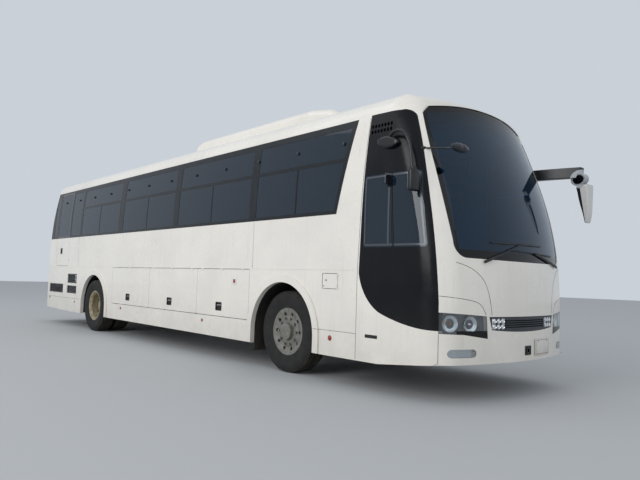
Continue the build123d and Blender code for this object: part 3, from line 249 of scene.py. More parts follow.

# Side panes: float glass with a dark tint, nearly black from outside; its blue is a painted reflection
# of the sky, and dust lies on it in faint clouds
tinted_glass_and_painted_sky = material("dark safety glass with painted sky reflection", "0C2436", 0.02, Transmission_Weight=0.35, IOR=1.5)
drive(tinted_glass_and_painted_sky, "Roughness", between(tinted_glass_and_painted_sky, patches(tinted_glass_and_painted_sky, 0.4), 0.35, 0.75, 0.01, 0.07))
tint(tinted_glass_and_painted_sky, "3A3F43", between(tinted_glass_and_painted_sky, patches(tinted_glass_and_painted_sky, 0.12), 0.55, 0.85, 0.0, 0.25))

# Windscreen: laminated float glass, clear and blue, with a black border printed on its inside
screen = material("laminated screen glass", "1A6A96", 0.015, IOR=1.4)
_, screen_y, screen_z = axes_of(screen)
# the clear part is narrower above and below its middle, and its top edge sinks towards the sides
clear_half_y, clear_foot_z, clear_middle_z, clear_top_z = 1.012, 1.535, 2.2, 3.115
half = sums(screen, "ABSOLUTE", screen_y)
off_middle = sums(screen, "SUBTRACT", screen_z, clear_middle_z)
pinch = sums(screen, "MULTIPLY", sums(screen, "MULTIPLY", off_middle, off_middle), -0.085)
side_band = sums(screen, "GREATER_THAN", half, sums(screen, "ADD", pinch, clear_half_y))
bow = sums(screen, "MULTIPLY", sums(screen, "MULTIPLY", half, half), -0.104)
top_band = sums(screen, "GREATER_THAN", screen_z, sums(screen, "ADD", bow, clear_top_z))
foot_band = sums(screen, "LESS_THAN", screen_z, clear_foot_z)
border = sums(screen, "MAXIMUM", sums(screen, "MAXIMUM", side_band, top_band), foot_band)
tint(screen, "060708", border)
# a blue shade strip under the top edge
shade = between(screen, sums(screen, "SUBTRACT", screen_z, bow), 2.86, 3.1, 0.0, 0.75)
tint(screen, "1F3A4C", sums(screen, "MULTIPLY", shade, sums(screen, "SUBTRACT", 1.0, border)))
drive(screen, "Transmission Weight", between(screen, border, 0.0, 1.0, 0.92, 0.0))
drive(screen, "Roughness", between(screen, patches(screen, 0.3), 0.4, 0.8, 0.01, 0.05))

# Lamp covers: clear moulded polycarbonate, a little hazy, black along the lower inner edge
lens = material("clear polycarbonate", "EEF3F5", 0.02, Transmission_Weight=0.97, IOR=1.45)
tint(lens, "05090C", in_box(lens, (5.4, -1.03, 0.62), (6.1, 1.03, 0.726)))
drive(lens, "Roughness", between(lens, patches(lens, 0.06), 0.45, 0.8, 0.01, 0.08))

# Inside of the lamps: grey moulded housings, bright behind the fog lamp covers
housing = material("grey lamp housing", "5C5F61", 0.4)
foggy = sums(housing, "LESS_THAN", axes_of(housing)[2], 0.6)
tint(housing, "D5D6D8", foggy)
drive(housing, "Metallic", foggy)
relief(housing, patches(housing, 0.012, 1.0), 0.0015, 0.5)

# Lamp bowls: plastic coated with bright aluminium, with flutes 9 mm apart that break up reflections
bowl = material("bright coated lamp bowl", "E3E4E6", 0.08, 1.0)
bowl_y = axes_of(bowl)[1]
flutes = sums(bowl, "SINE", sums(bowl, "MULTIPLY", bowl_y, 2 * pi / 0.009))
relief(bowl, flutes, 0.0006, 0.4)
# Amber bulb: blown glass, clear orange with paler spots
amber = material("amber lamp glass", "C8621A", 0.12, Transmission_Weight=0.3)
tint(amber, "F0A050", between(amber, patches(amber, 0.01), 0.4, 0.7, 0.0, 0.6))

# Tail lamp: red moulded acrylic with an amber and a clear field, ribbed inside
red = material("moulded acrylic tail lamp", "8E0B0E", 0.08, Transmission_Weight=0.15, Coat_Weight=0.4)
red_z = axes_of(red)[2]
tint(red, "C96A12", sums(red, "GREATER_THAN", red_z, 1.02))
tint(red, "C9C6C2", in_box(red, (-6.2, -1.3, 0.83), (-5.8, 1.3, 0.93)))
ribs = sums(red, "SINE", sums(red, "MULTIPLY", red_z, 2 * pi / 0.012))
relief(red, ribs, 0.0012, 0.6)

# Black moulded plastic: fine leather-like grain that scatters the light, grey where it ages
plastic = material("black moulded plastic", "121316", 0.5)
tint(plastic, "33353A", between(plastic, patches(plastic, 0.15), 0.45, 0.8, 0.0, 0.6))
relief(plastic, patches(plastic, 0.006, 2.0), 0.0006, 0.5)
# Arch liners and mud flaps: pressed polypropylene and rubber, dull, brown with road dirt low down
liner = dusty(material("black liner plastic", "0D0E10", 0.7), "4E483F", 0.2, 1.3, 0.7, 0.2)
relief(liner, patches(liner, 0.01, 3.0), 0.001, 0.5)
# Grille, louvres and racks: grey moulded plastic with a fine grain
grey_plastic = material("grey moulded plastic", "2A2E33", 0.42)
tint(grey_plastic, "3D4248", between(grey_plastic, patches(grey_plastic, 0.1), 0.4, 0.8, 0.0, 0.6))
relief(grey_plastic, patches(grey_plastic, 0.005, 2.0), 0.0005, 0.4)

# Number plates: pressed aluminium, painted white, a little dusty
plate = material("painted aluminium plate", "E2E0D8", 0.42)
plate_paint = plate.copy()
plate_paint.name = "painted aluminium plate with a line round it"


def plate_line(mat, centre_yz, half_yz, front):
    """A red-brown line, 5 mm wide, round a plate at the front or the rear."""
    outside = []
    for axis, centre, half_size in zip(axes_of(mat)[1:3], centre_yz, half_yz):
        off_centre = sums(mat, "ABSOLUTE", sums(mat, "SUBTRACT", axis, centre))
        outside.append(sums(mat, "SUBTRACT", off_centre, half_size))
    edge = sums(mat, "MAXIMUM", *outside)
    on_line = sums(mat, "LESS_THAN", sums(mat, "ABSOLUTE", edge), 0.0025)
    near_x, far_x = (5.0, 7.0) if front else (-7.0, -5.0)
    this_end = in_box(mat, (near_x, -1, 0), (far_x, 1, 1))
    tint(mat, "6E2A26", sums(mat, "MULTIPLY", on_line, this_end))


plate_line(plate_paint, front_plate_yz, (0.154, 0.074), True)
plate_line(plate_paint, rear_plate_yz, (0.156, 0.076), False)
dusty(plate_paint, "9A9284", 0.3, 0.9, 0.5, 0.08)
dusty(plate, "9A9284", 0.3, 0.9, 0.5, 0.08)

# Floor: rolled vinyl covering, matt grey with paler speckles
floor_cover = material("grey vinyl floor", "4A4844", 0.6)
tint(floor_cover, "6B6861", between(floor_cover, patches(floor_cover, 0.006, 1.0), 0.55, 0.65))
# Load space: rolled aluminium sheet, rubbed in streaks by luggage
lining = material("rolled aluminium sheet", "8C8E90", 0.42, 0.8)
drive(lining, "Roughness", between(lining, patches(lining, 0.08, 6.0, (0.2, 1, 1)), 0.3, 0.7, 0.3, 0.6))
# Frame and axles: brushed-on black paint under a crust of road dirt
chassis = dusty(material("black frame paint", "17181A", 0.5), "5E564B", 0.2, 1.1, 0.8, 0.12)
relief(chassis, patches(chassis, 0.02), 0.002, 0.4)
# Engine: sand-cast grey iron, rough and brown with dust
iron = dusty(material("grey cast iron", "3A3B3C", 0.6, 0.6), "5A4F43", 0.3, 1.4, 0.6, 0.1)
relief(iron, patches(iron, 0.008), 0.001, 0.6)
# Dashboard: moulded plastic with a soft grain, matt charcoal
dash = material("charcoal dashboard plastic", "26282B", 0.6)
tint(dash, "34373B", between(dash, patches(dash, 0.1), 0.4, 0.8))
relief(dash, patches(dash, 0.004, 2.0), 0.0005, 0.5)

# Wheels: pressed steel in pale grey enamel, with brake dust and rust; the rear ones yellow with dust
steel = material("painted steel wheel", "82807A", 0.42, 0.25)
tint(steel, "5F5A52", between(steel, patches(steel, 0.07), 0.4, 0.7, 0.0, 0.75))
tint(steel, "6B4A2E", between(steel, patches(steel, 0.03), 0.6, 0.75, 0.0, 0.6))
relief(steel, patches(steel, 0.01), 0.0008, 0.4)
worn_steel = material("dusty painted steel wheel", "B0A88F", 0.5, 0.15)
tint(worn_steel, "7C6B48", between(worn_steel, patches(worn_steel, 0.07), 0.35, 0.65, 0.0, 0.85))
tint(worn_steel, "4E3A26", between(worn_steel, patches(worn_steel, 0.03), 0.6, 0.8, 0.0, 0.6))
relief(worn_steel, patches(worn_steel, 0.01), 0.0008, 0.4)


def tyre_rubber(name, axle_x):
    """Cured tyre rubber: dull black going brown with dust, rings on the wall, sipes on the tread."""
    mat = material(name, "0C0D0F", 0.8)
    x, _, z = axes_of(mat)
    from_axle = add_node(
        mat.node_tree, "ShaderNodeCombineXYZ",
        {0: sums(mat, "SUBTRACT", x, axle_x), 1: sums(mat, "SUBTRACT", z, wheel_radius)},
    ).outputs[0]
    radius = add_node(
        mat.node_tree, "ShaderNodeVectorMath", {0: from_axle}, operation="LENGTH"
    ).outputs["Value"]
    turn = add_node(
        mat.node_tree, "ShaderNodeTexGradient", {0: from_axle}, gradient_type="RADIAL"
    ).outputs[1]
    tint(mat, "332F29", between(mat, patches(mat, 0.12), 0.35, 0.75, 0.05, 0.5))
    outer_dust = between(mat, radius, 0.49, wheel_radius)
    tint(mat, "4A4439", sums(mat, "MULTIPLY", outer_dust, between(mat, patches(mat, 0.05), 0.3, 0.7)))
    # 90 sipes round the tread, each a tenth of its pitch wide
    sipe = sums(mat, "LESS_THAN", sums(mat, "FRACT", sums(mat, "MULTIPLY", turn, 90.0)), 0.1)
    tread = sums(mat, "GREATER_THAN", radius, 0.502)
    relief(mat, sums(mat, "MULTIPLY", sipe, tread), -0.006)
    ring = sums(mat, "SINE", sums(mat, "MULTIPLY", radius, 2 * pi / 0.011))
    wall = sums(mat, "LESS_THAN", sums(mat, "ABSOLUTE", sums(mat, "SUBTRACT", radius, 0.4)), 0.05)
    relief(mat, sums(mat, "MULTIPLY", ring, wall), 0.0008, 0.5)
    return mat


front_rubber = tyre_rubber("front tyre rubber", front_axle_x)
rear_rubber = tyre_rubber("rear tyre rubber", rear_axle_x)

# Mirror shells: black moulded plastic, the hanging head and the wide view head painted pale
shell = material("mirror shell plastic", "0E1013", 0.3)
shell_x, _, shell_z = axes_of(shell)
# the long head is white in front of a line that leans forward downwards
below_top = sums(shell, "SUBTRACT", long_head_z[1], shell_z)
edge = sums(shell, "ADD", sums(shell, "MULTIPLY", below_top, 0.12), 5.964)
front_of_edge = sums(shell, "GREATER_THAN", shell_x, edge)
long_head = sums(shell, "MULTIPLY", front_of_edge, in_box(shell, (5.9, 1.1, 1.9), (6.2, 1.5, 2.44)))
tint(shell, "D2D0CC", long_head)
tint(shell, "A9ADB1", in_ball(shell, (5.95, 1.262, 2.51), 0.128))
tint(shell, "23282E", in_ball(shell, under_head_at, 0.16))
relief(shell, patches(shell, 0.008, 2.0), 0.0005, 0.4)

# Mirror glass: float glass silvered behind, bright with a few dull spots
silver = material("silvered mirror glass", "D5D9DC", 0.02, 1.0)
drive(silver, "Roughness", between(silver, patches(silver, 0.03), 0.5, 0.9, 0.01, 0.12))

# Seats: woven blue polyester cloth; its threads are under 1 mm and drawn 4 mm wide so that they show
cloth = material("woven seat cloth", "2C3657", 0.92, Sheen_Weight=0.3)
tint(cloth, "47527A", between(cloth, patches(cloth, 0.05), 0.45, 0.6, 0.0, 0.8))
weave_x, weave_y, weave_z = axes_of(cloth)
weave = sums(cloth, "MULTIPLY", sums(
    cloth, "SINE", sums(cloth, "MULTIPLY", sums(cloth, "ADD", weave_x, weave_z), 2 * pi / 0.004)
), sums(cloth, "SINE", sums(cloth, "MULTIPLY", weave_y, 2 * pi / 0.004)))
relief(cloth, weave, 0.001, 0.6)

# Seat legs: steel tube, powder-coated grey, with a fine orange-peel surface
tube = material("grey powder coating", "54575B", 0.5)
relief(tube, patches(tube, 0.004, 2.0), 0.0004, 0.4)

# Reflex lenses: moulded red acrylic with prisms 5 mm wide behind a smooth face
reflex = material("red reflex acrylic", "7E1412", 0.15, Coat_Weight=0.5)
prisms = add_node(
    reflex.node_tree, "ShaderNodeTexVoronoi", {"Vector": place_of(reflex), "Scale": 180.0}
).outputs["Distance"]
tint(reflex, "C2503F", between(reflex, prisms, 0.1, 0.7, 0.6, 0.0))
relief(reflex, prisms, 0.001, 0.5)

# Cab window frame: drawn aluminium, anodised, satin with fine upright lines
satin = material("satin anodised aluminium", "5E6266", 0.35, 0.9)
relief(satin, patches(satin, 0.004, 2.0, (1, 1, 0.05)), 0.0003, 0.3)

# Joints between the panels: black polyurethane sealant, matt and slightly uneven
sealant = material("black joint sealant", "1A1A1A", 0.7)
relief(sealant, patches(sealant, 0.01, 2.0), 0.0005, 0.4)

# Studio floor: matt paint
pale_floor = material("pale studio floor", "B9BABA", 0.8)

looks = {
    "driver_panel": black, "entrance_panel": black, "entrance_door": black, "window_frames": band,
    "windscreen": screen, "rear_window": tinted_glass_and_painted_sky, "side_glass": tinted_glass_and_painted_sky, "entrance_door_glass": tinted_glass_and_painted_sky,
    "exit_door_glass": tinted_glass_and_painted_sky, "lamp_lenses": lens, "lamp_bodies": housing, "tail_lamps": red,
    "front_grille": grey_plastic, "side_louvres": grey_plastic, "number_plates": plate_paint,
    "cabin_floor": floor_cover, "entrance_steps": floor_cover, "luggage_hold": lining,
    "chassis_frame": chassis, "front_axle": chassis, "rear_axle": chassis,
    "knuckle_right": chassis, "knuckle_left": chassis,
    "arch_liners": liner, "engine": iron, "dashboard": dash,
    "steering_wheel": dash, "seats": cloth, "mirrors": shell, "door_arm": plastic,
    "exit_door": banded,
    "front_rim_right": steel, "front_rim_left": steel,
    "rear_rims_right": worn_steel, "rear_rims_left": worn_steel,
    "front_tyre_right": front_rubber, "front_tyre_left": front_rubber,
    "rear_tyres_right": rear_rubber, "rear_tyres_left": rear_rubber,
}
for name, obj in nodes.items():
    obj.data.materials.clear()
    obj.data.materials.append(looks.get(name, white))


def pick(*chosen):
    """Select these objects alone."""
    if bpy.context.mode != "OBJECT":
        bpy.ops.object.mode_set(mode="OBJECT")
    bpy.ops.object.select_all(action="DESELECT")
    for obj in chosen:
        obj.select_set(True)
    bpy.context.view_layer.objects.active = chosen[0] if chosen else None


def settle(obj, mat, body, smooth=35):
    """Apply an object's place, smooth it, finish it and let it ride."""
    pick(obj)
    bpy.ops.object.transform_apply(location=True, rotation=True, scale=True)
    bpy.ops.object.shade_smooth_by_angle(angle=radians(smooth))
    obj.data.materials.clear()
    obj.data.materials.append(mat)
    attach(obj, body)
    return obj


def harden(obj, kind, **settings):
    """Add a modifier with its settings and apply it."""
    pick(obj)
    change = obj.modifiers.new(kind.lower(), kind)
    for key, value in settings.items():
        setattr(change, key, value)
    bpy.ops.object.modifier_apply(modifier=change.name)
    return obj


def slab(name, low, high, rounding=0.0, segments=3):
    """A block between two corners with rounded edges, ready for more work."""
    pick()
    size = [b - a for a, b in zip(low, high)]
    bpy.ops.mesh.primitive_cube_add(size=1, location=[(a + b) / 2 for a, b in zip(low, high)])
    obj = bpy.context.object
    obj.name = name
    obj.scale = size
    bpy.ops.object.transform_apply(location=True, rotation=True, scale=True)
    if rounding:
        harden(obj, "BEVEL", width=rounding, segments=segments)
    return obj


def again(obj, name, shift=(0, 0, 0)):
    """A copy with its own mesh, moved."""
    pick(obj)
    bpy.ops.object.duplicate()
    twin = bpy.context.object
    twin.name = name
    twin.location = Vector(twin.location) + Vector(shift)
    bpy.ops.object.transform_apply(location=True, rotation=True, scale=True)
    return twin


def joined(name, *parts):
    """Several meshes as one piece."""
    pick(*parts)
    bpy.ops.object.join()
    parts[0].name = name
    return parts[0]


def spun(name, profile, centre, steps):
    """A ring turned about a cross axle at centre; profile is (along the axle, radius)."""
    pick()
    start = Vector(centre) + Vector((0, profile[0][0], profile[0][1]))
    bpy.ops.mesh.primitive_plane_add(size=0.01, location=start)
    obj = bpy.context.object
    obj.name = name
    bpy.ops.object.transform_apply(location=True, rotation=True, scale=True)
    bpy.ops.object.mode_set(mode="EDIT")
    bpy.ops.mesh.select_all(action="SELECT")
    bpy.ops.mesh.merge(type="CENTER")
    for (y0, r0), (y1, r1) in zip(profile, profile[1:]):
        bpy.ops.mesh.extrude_region_move(TRANSFORM_OT_translate={"value": (0, y1 - y0, r1 - r0)})
    bpy.ops.mesh.select_all(action="SELECT")
    bpy.ops.mesh.spin(steps=steps, angle=2 * pi, center=centre, axis=(0, 1, 0))
    bpy.ops.mesh.select_all(action="SELECT")
    bpy.ops.mesh.remove_doubles(threshold=0.0002)
    bpy.ops.mesh.normals_make_consistent(inside=False)
    bpy.ops.object.mode_set(mode="OBJECT")
    return obj


def bent(obj, move):
    """Move each point of a mesh by a rule."""
    pick(obj)
    bpy.ops.object.mode_set(mode="EDIT")
    shape = bmesh.from_edit_mesh(obj.data)
    for point in shape.verts:
        point.co = Vector(move(*point.co))
    bmesh.update_edit_mesh(obj.data)
    bpy.ops.object.mode_set(mode="OBJECT")
    return obj


def divided(obj, cuts):
    """Divide every face of a mesh."""
    pick(obj)
    bpy.ops.object.mode_set(mode="EDIT")
    bpy.ops.mesh.select_all(action="SELECT")
    bpy.ops.mesh.subdivide(number_cuts=cuts)
    bpy.ops.object.mode_set(mode="OBJECT")
    return obj


def placed(obj, spot, turn=(0, 0, 0)):
    """Turn a mesh about the origin, set it at its spot and apply both."""
    pick(obj)
    obj.rotation_euler = turn
    obj.location = spot
    bpy.ops.object.transform_apply(location=True, rotation=True, scale=True)
    return obj


def tube_line(name, points, radius):
    """A round bar along a smooth line, as a mesh with closed ends."""
    pick()
    bpy.ops.curve.primitive_nurbs_path_add()
    bar = bpy.context.object
    bar.name = name
    line = bar.data.splines[0]
    line.points.add(max(0, len(points) - len(line.points)))
    for point, spot in zip(line.points, points + [points[-1]] * 5):
        point.co = (*spot, 1)
    line.order_u = 3
    line.use_endpoint_u = True
    bar.data.bevel_depth = radius
    bar.data.bevel_resolution = 3
    bar.data.use_fill_caps = True
    bpy.ops.object.convert(target="MESH")
    return bpy.context.object


def faced_out(obj):
    """Turn every face of a closed mesh outwards."""
    pick(obj)
    bpy.ops.object.mode_set(mode="EDIT")
    bpy.ops.mesh.select_all(action="SELECT")
    bpy.ops.mesh.normals_make_consistent(inside=False)
    bpy.ops.object.mode_set(mode="OBJECT")
    return obj


def on_bow(y, z, depth=0.0):
    """A place on the bowed nose below the screen, set in by depth, and the way it faces."""
    facing = asin(y / bow_radius)
    reach = bow_radius - depth
    return (bow_x + reach * cos(facing), y - depth * sin(facing), z), facing


def eased(line):
    """Cut the corners of a line twice, so that it runs as a soft curve."""
    for _ in range(2):
        softer = [line[0]]
        for (a, b), (c, d) in zip(line, line[1:]):
            softer.append((0.75 * a + 0.25 * c, 0.75 * b + 0.25 * d))
            softer.append((0.25 * a + 0.75 * c, 0.25 * b + 0.75 * d))
        line = softer + [line[-1]]
    return line


def laid_bar(name, view, start, end, width, target, proud, lift=0.0, end_width=None):
    """A thin bar between two places of the side or front view, pressed onto a surface."""
    # the bar starts as a flat strip just outside the coach, divided about every 40 mm
    clear_of_nose_x, clear_of_side_y, piece_length = 6.12, 1.32, 0.04
    along, upward = end[0] - start[0], end[1] - start[1]
    middle_along, middle_z = (start[0] + end[0]) / 2, (start[1] + end[1]) / 2
    pick()
    bpy.ops.mesh.primitive_plane_add(size=1, location=(0, 0, 0))
    bar = bpy.context.object
    bar.name = name
    if view == "front":
        run = Vector((0, along, upward))
        beside = Vector((0, upward, -along)).normalized() * width
        middle = Vector((clear_of_nose_x, middle_along, middle_z))
    else:
        run = Vector((along, 0, upward))
        beside = Vector((upward, 0, -along)).normalized() * width
        middle = Vector((middle_along, view * clear_of_side_y, middle_z))
    bpy.ops.object.mode_set(mode="EDIT")
    sheet = bmesh.from_edit_mesh(bar.data)
    for edge in sheet.edges:
        edge.select = abs(edge.verts[0].co.x - edge.verts[1].co.x) > 0.5
    sheet.select_mode = {"EDGE"}
    for point in sheet.verts:
        taper = (end_width or width) / width if point.co.x > 0 else 1.0
        point.co = middle + run * point.co.x + beside * point.co.y * taper
    bmesh.update_edit_mesh(bar.data)
    bpy.ops.mesh.select_mode(type="EDGE")
    bpy.ops.mesh.subdivide(number_cuts=max(1, int(run.length / piece_length)))
    bpy.ops.object.mode_set(mode="OBJECT")
    harden(
        bar, "SHRINKWRAP", target=target, wrap_method="PROJECT", use_project_x=view == "front",
        use_project_y=view != "front", use_project_z=False,
        use_positive_direction=view == -1, use_negative_direction=view != -1, offset=lift,
    )
    harden(bar, "SOLIDIFY", thickness=proud, offset=0.0)
    return bar


# Tyres: rounded walls with a bead ring and four grooves in the tread
outer_profile = [
    (0.1, 0.2867), (0.106, 0.298), (0.118, 0.304), (0.12, 0.312), (0.131, 0.345), (0.1405, 0.385),
    (0.1445, 0.425), (0.1455, 0.43), (0.1435, 0.455), (0.139, 0.478), (0.131, 0.497),
    (0.118, 0.511), (0.104, 0.5155), (0.084, 0.5165), (0.082, 0.503), (0.07, 0.503), (0.068, 0.5168),
    (0.034, 0.5168), (0.032, 0.503), (0.02, 0.503), (0.018, 0.5168),
]
tyre_profile = outer_profile + [(-y, r) for y, r in reversed(outer_profile)] + [outer_profile[0]]
first_tyre = spun("tyre_pattern", tyre_profile, (0, 0, wheel_radius), 96)
for side, sign in sides:
    tyre = again(first_tyre, f"treaded_front_tyre_{side}", (front_axle_x, sign * front_tyre_y, 0))
    settle(tyre, front_rubber, f"front_wheel_{side}")
    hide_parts(f"front_tyre_{side}")
    pair = [
        again(first_tyre, f"rear_tyre_{side}_{i}", (rear_axle_x, sign * y, 0))
        for i, y in enumerate(rear_tyre_ys)
    ]
    pair = settle(joined(f"treaded_rear_tyres_{side}", *pair), rear_rubber, f"rear_wheels_{side}")
    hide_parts(f"rear_tyres_{side}")
bpy.data.objects.remove(first_tyre)


def handle_insert(name, sign, x, z, length, height, body):
    """Moulded pull handle: a bezel on the skin, a dish that lines the recess and a grip."""
    face = sign * side_y
    bezel = 0.007
    pick()
    bpy.ops.mesh.primitive_plane_add(
        size=1, location=(x, face + sign * 0.002, z), rotation=(sign * -pi / 2, 0, 0)
    )
    dish = bpy.context.object
    dish.scale = (length + 2 * bezel, height + 2 * bezel, 1)
    bpy.ops.object.transform_apply(location=True, rotation=True, scale=True)
    bpy.ops.object.mode_set(mode="EDIT")
    bpy.ops.mesh.select_all(action="SELECT")
    bpy.ops.mesh.bevel(offset=min(0.016, height / 3), segments=4, affect="VERTICES")
    bpy.ops.mesh.inset(thickness=0.009)
    bpy.ops.mesh.extrude_region_move(TRANSFORM_OT_translate={"value": (0, -sign * 0.0145, 0)})
    bpy.ops.object.mode_set(mode="OBJECT")
    harden(dish, "SOLIDIFY", thickness=0.0012, offset=1.0)
    low_y, high_y = sorted((face - sign * 0.013, face + sign * 0.001))
    reach, rise = length * 0.4, height * 0.16
    grip = slab(
        "grip", (x - reach, low_y, z - rise), (x + reach, high_y, z + rise), min(0.006, height * 0.1)
    )
    return settle(joined(name, dish, grip), plastic, body)


hold_bays = {"aft": (-2.104, -0.5), "mid": (-0.5, 1.142), "fore": (1.142, 2.54)}
for side, sign in sides:
    for bay, (x0, x1) in hold_bays.items():
        handle_x = (x0 + x1) / 2 - 0.06
        handle_insert(
            f"handle_{bay}_{side}", sign, handle_x, 0.757, 0.15, 0.11, f"luggage_{bay}_{side}"
        )


def handle_plate(name, x, z, length, height, body):
    """A flat pull handle on the right side: a rounded plate with a raised grip."""
    seat = slab(
        name, (x - length / 2, -1.2485, z - height / 2), (x + length / 2, -skin_y, z + height / 2),
        0.0017,
    )
    reach = length * 0.36
    grip = slab(
        "grip", (x - reach, -1.254, z - height * 0.15), (x + reach, -1.2484, z + height * 0.2), 0.0025
    )
    return settle(joined(name, seat, grip), plastic, body)


handle_plate("handle_exit", -5.109, 1.664, 0.12, 0.13, "exit_leaf")
handle_plate("handle_skirt", 4.851, 0.597, 0.18, 0.036, "coach")

# Side marker lamps along the skirt: a round seat with a domed red lens, spun as one in red reflex
# acrylic
dome = [(0.0, 0.031), (0.004, 0.031), (0.0045, 0.026), (0.009, 0.0245), (0.0125, 0.018), (0.014, 0.0)]
marker_places = [
    # x, z, size against the full lamp
    (-1.649, 0.537, 0.8), (1.334, 0.526, 0.8), (4.198, 0.522, 1.0), (-5.738, 0.577, 0.8),
    (-4.09, 0.538, 0.7),
]
for side, sign in sides:
    for i, (x, z, size) in enumerate(marker_places):
        sized_dome = [(y * sign * size, r * size) for y, r in dome]
        lamp = spun(f"marker_{side}_{i}", sized_dome, (0, 0, 0), 20)
        lamp.location = (x, sign * skin_y, z)
        settle(lamp, reflex, "coach")
    # square reflex on its pale plate, on the front luggage door
    x, z, plate_half, reflex_half = 2.175, 1.132, 0.05, 0.025
    door_face, reflex_foot = sign * side_y, sign * (side_y + 0.004)
    low_y, high_y = sorted((door_face, reflex_foot))
    backing = slab(
        f"reflex_plate_{side}", (x - plate_half, low_y, z - plate_half),
        (x + plate_half, high_y, z + plate_half), 0.0018,
    )
    settle(backing, plate, f"luggage_fore_{side}")
    low_y, high_y = sorted((reflex_foot, sign * (side_y + 0.009)))
    square = slab(
        f"reflex_{side}", (x - reflex_half, low_y, z - reflex_half),
        (x + reflex_half, high_y, z + reflex_half), 0.002,
    )
    settle(square, reflex, f"luggage_fore_{side}")

# Small pale strip beside the rear marker
strip = slab("skirt_strip", (-1.83, -1.2475, 0.53), (-1.71, -skin_y, 0.552), 0.001)
settle(strip, plate, "coach")

# Locks of the filler flap
for i, (x, z, size) in enumerate(((4.105, 1.186, 0.35), (4.068, 1.118, 0.25))):
    sized_dome = [(-y * size, r * size) for y, r in dome]
    lock = spun(f"flap_lock_{i}", sized_dome, (0, 0, 0), 16)
    lock.location = (x, -skin_y, z)
    settle(lock, plastic, "fuel_flap")


def mirror_pane(name, corners):
    """A mirror glass 3 mm thick between four corners, given from the low outer one round."""
    pick()
    bpy.ops.mesh.primitive_plane_add(size=1, location=(0, 0, 0))
    pane = bpy.context.object
    pane.name = name
    bpy.ops.object.mode_set(mode="EDIT")
    sheet = bmesh.from_edit_mesh(pane.data)
    corner_points = dict(zip(((-1, -1), (1, -1), (1, 1), (-1, 1)), corners))
    for point in sheet.verts:
        point.co = Vector(corner_points[(1 if point.co.x > 0 else -1, 1 if point.co.y > 0 else -1)])
    bmesh.update_edit_mesh(pane.data)
    bpy.ops.mesh.select_all(action="SELECT")
    bpy.ops.mesh.bevel(offset=0.018, segments=4, affect="VERTICES")
    bpy.ops.object.mode_set(mode="OBJECT")
    harden(pane, "SOLIDIFY", thickness=0.003, offset=0.0)
    harden(pane, "BEVEL", width=0.0008, segments=1)
    return settle(pane, silver, "coach")


# Seats: a crowned cushion and back in woven cloth on grey legs
def seat_pad(name, length, width, height, lean, spot):
    """A padded block, leaning back by lean over its height."""
    pad = slab(name, (0, -width / 2, 0), (length, width / 2, height))
    crown = 0.02

    def crowned(x, y, z):
        """Crown the front face and the top towards their middle, then lean the pad."""
        from_edge = 1 - (y / (width / 2)) ** 2
        along = 2 * x / length - 1
        rise = z / height
        forward = crown * (0.5 - abs(rise - 0.5)) * from_edge if along > 0 else 0.0
        upward = crown * from_edge * (1 - along ** 2) if rise > 0.9 else 0.0
        return x + forward + lean * rise, y, z + upward

    bent(divided(pad, 3), crowned)
    harden(pad, "BEVEL", width=0.018, segments=2)
    harden(pad, "SUBSURF", levels=1, render_levels=1)
    return placed(pad, spot)


cushion = seat_pad("cushion", 0.41, 0.415, 0.085, 0.0, (0.02, 0, 0.33))
backrest = seat_pad("backrest", 0.115, 0.41, 0.64, -0.105, (-0.06, 0, 0.435))
leg = slab("leg", (0.06, -0.02, 0.0), (0.3, 0.02, 0.335), 0.006, 2)
first_row_x, row_pitch, row_count = 3.65, 0.86, 11
pair_y, seat_off, leg_off = 0.722, 0.222, 0.28
pads, legs = [], []
for row in range(row_count):
    for y in (-pair_y, pair_y):
        x = first_row_x - row * row_pitch
        for shift in (-seat_off, seat_off):
            for form in (cushion, backrest):
                pads.append(again(form, "pad", (x, y + shift, floor_z)))
        for shift in (-leg_off, leg_off):
            legs.append(again(leg, "leg_copy", (x, y + shift, floor_z)))
# the driver's seat on its plinth
pads.append(again(cushion, "pad", (4.66, -0.62, 1.1)))
pads.append(again(backrest, "pad", (4.72, -0.62, 1.1)))
legs.append(slab("plinth", (4.72, -0.77, 1.0), (5.02, -0.47, 1.43), 0.02, 2))
for form in (cushion, backrest, leg):
    bpy.data.objects.remove(form)
seat_cloth = settle(joined("seat_pads", *pads), cloth, "coach", 60)
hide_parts("seats")
seat_legs = settle(joined("seat_legs", *legs), tube, "coach")
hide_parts("seats")


# Mirrors: the left arm reaches forward from the corner and carries a round wide view head
# over a long tapering one; the right ones hang on thin stays
arm_start_x, arm_start_y, arm_length, arm_z = 5.3, 1.125, 0.66, 2.6


def arm_bow(x, y, z):
    """The left arm swings outwards and grows thinner towards its end."""
    along = (x - arm_start_x) / arm_length
    swung = arm_start_y + 0.135 * along ** 1.5
    return x, swung + y * (1 - 0.15 * along), z + 0.012 * (1 - along) * (z - arm_z)


arm = slab("mirror_arm", (arm_start_x, -0.045, 2.535), (5.97, 0.045, 2.665))
harden(divided(arm, 7), "BEVEL", width=0.002, segments=1)
bent(arm, arm_bow)
harden(arm, "SUBSURF", levels=1, render_levels=1)


def head_form(x, y, z):
    """The hanging head narrows from behind to a tip below, and its tip turns back."""
    low_z, top_z = long_head_z
    drop = (top_z - z) / (top_z - low_z)
    narrow = 1 - 0.8 * drop ** 1.7
    front = long_head_front_x - 0.12 * max(0.0, drop - 0.7) ** 1.5
    return front - (long_head_half - x) * narrow, 1.28 + y * (1 - 0.45 * drop), z


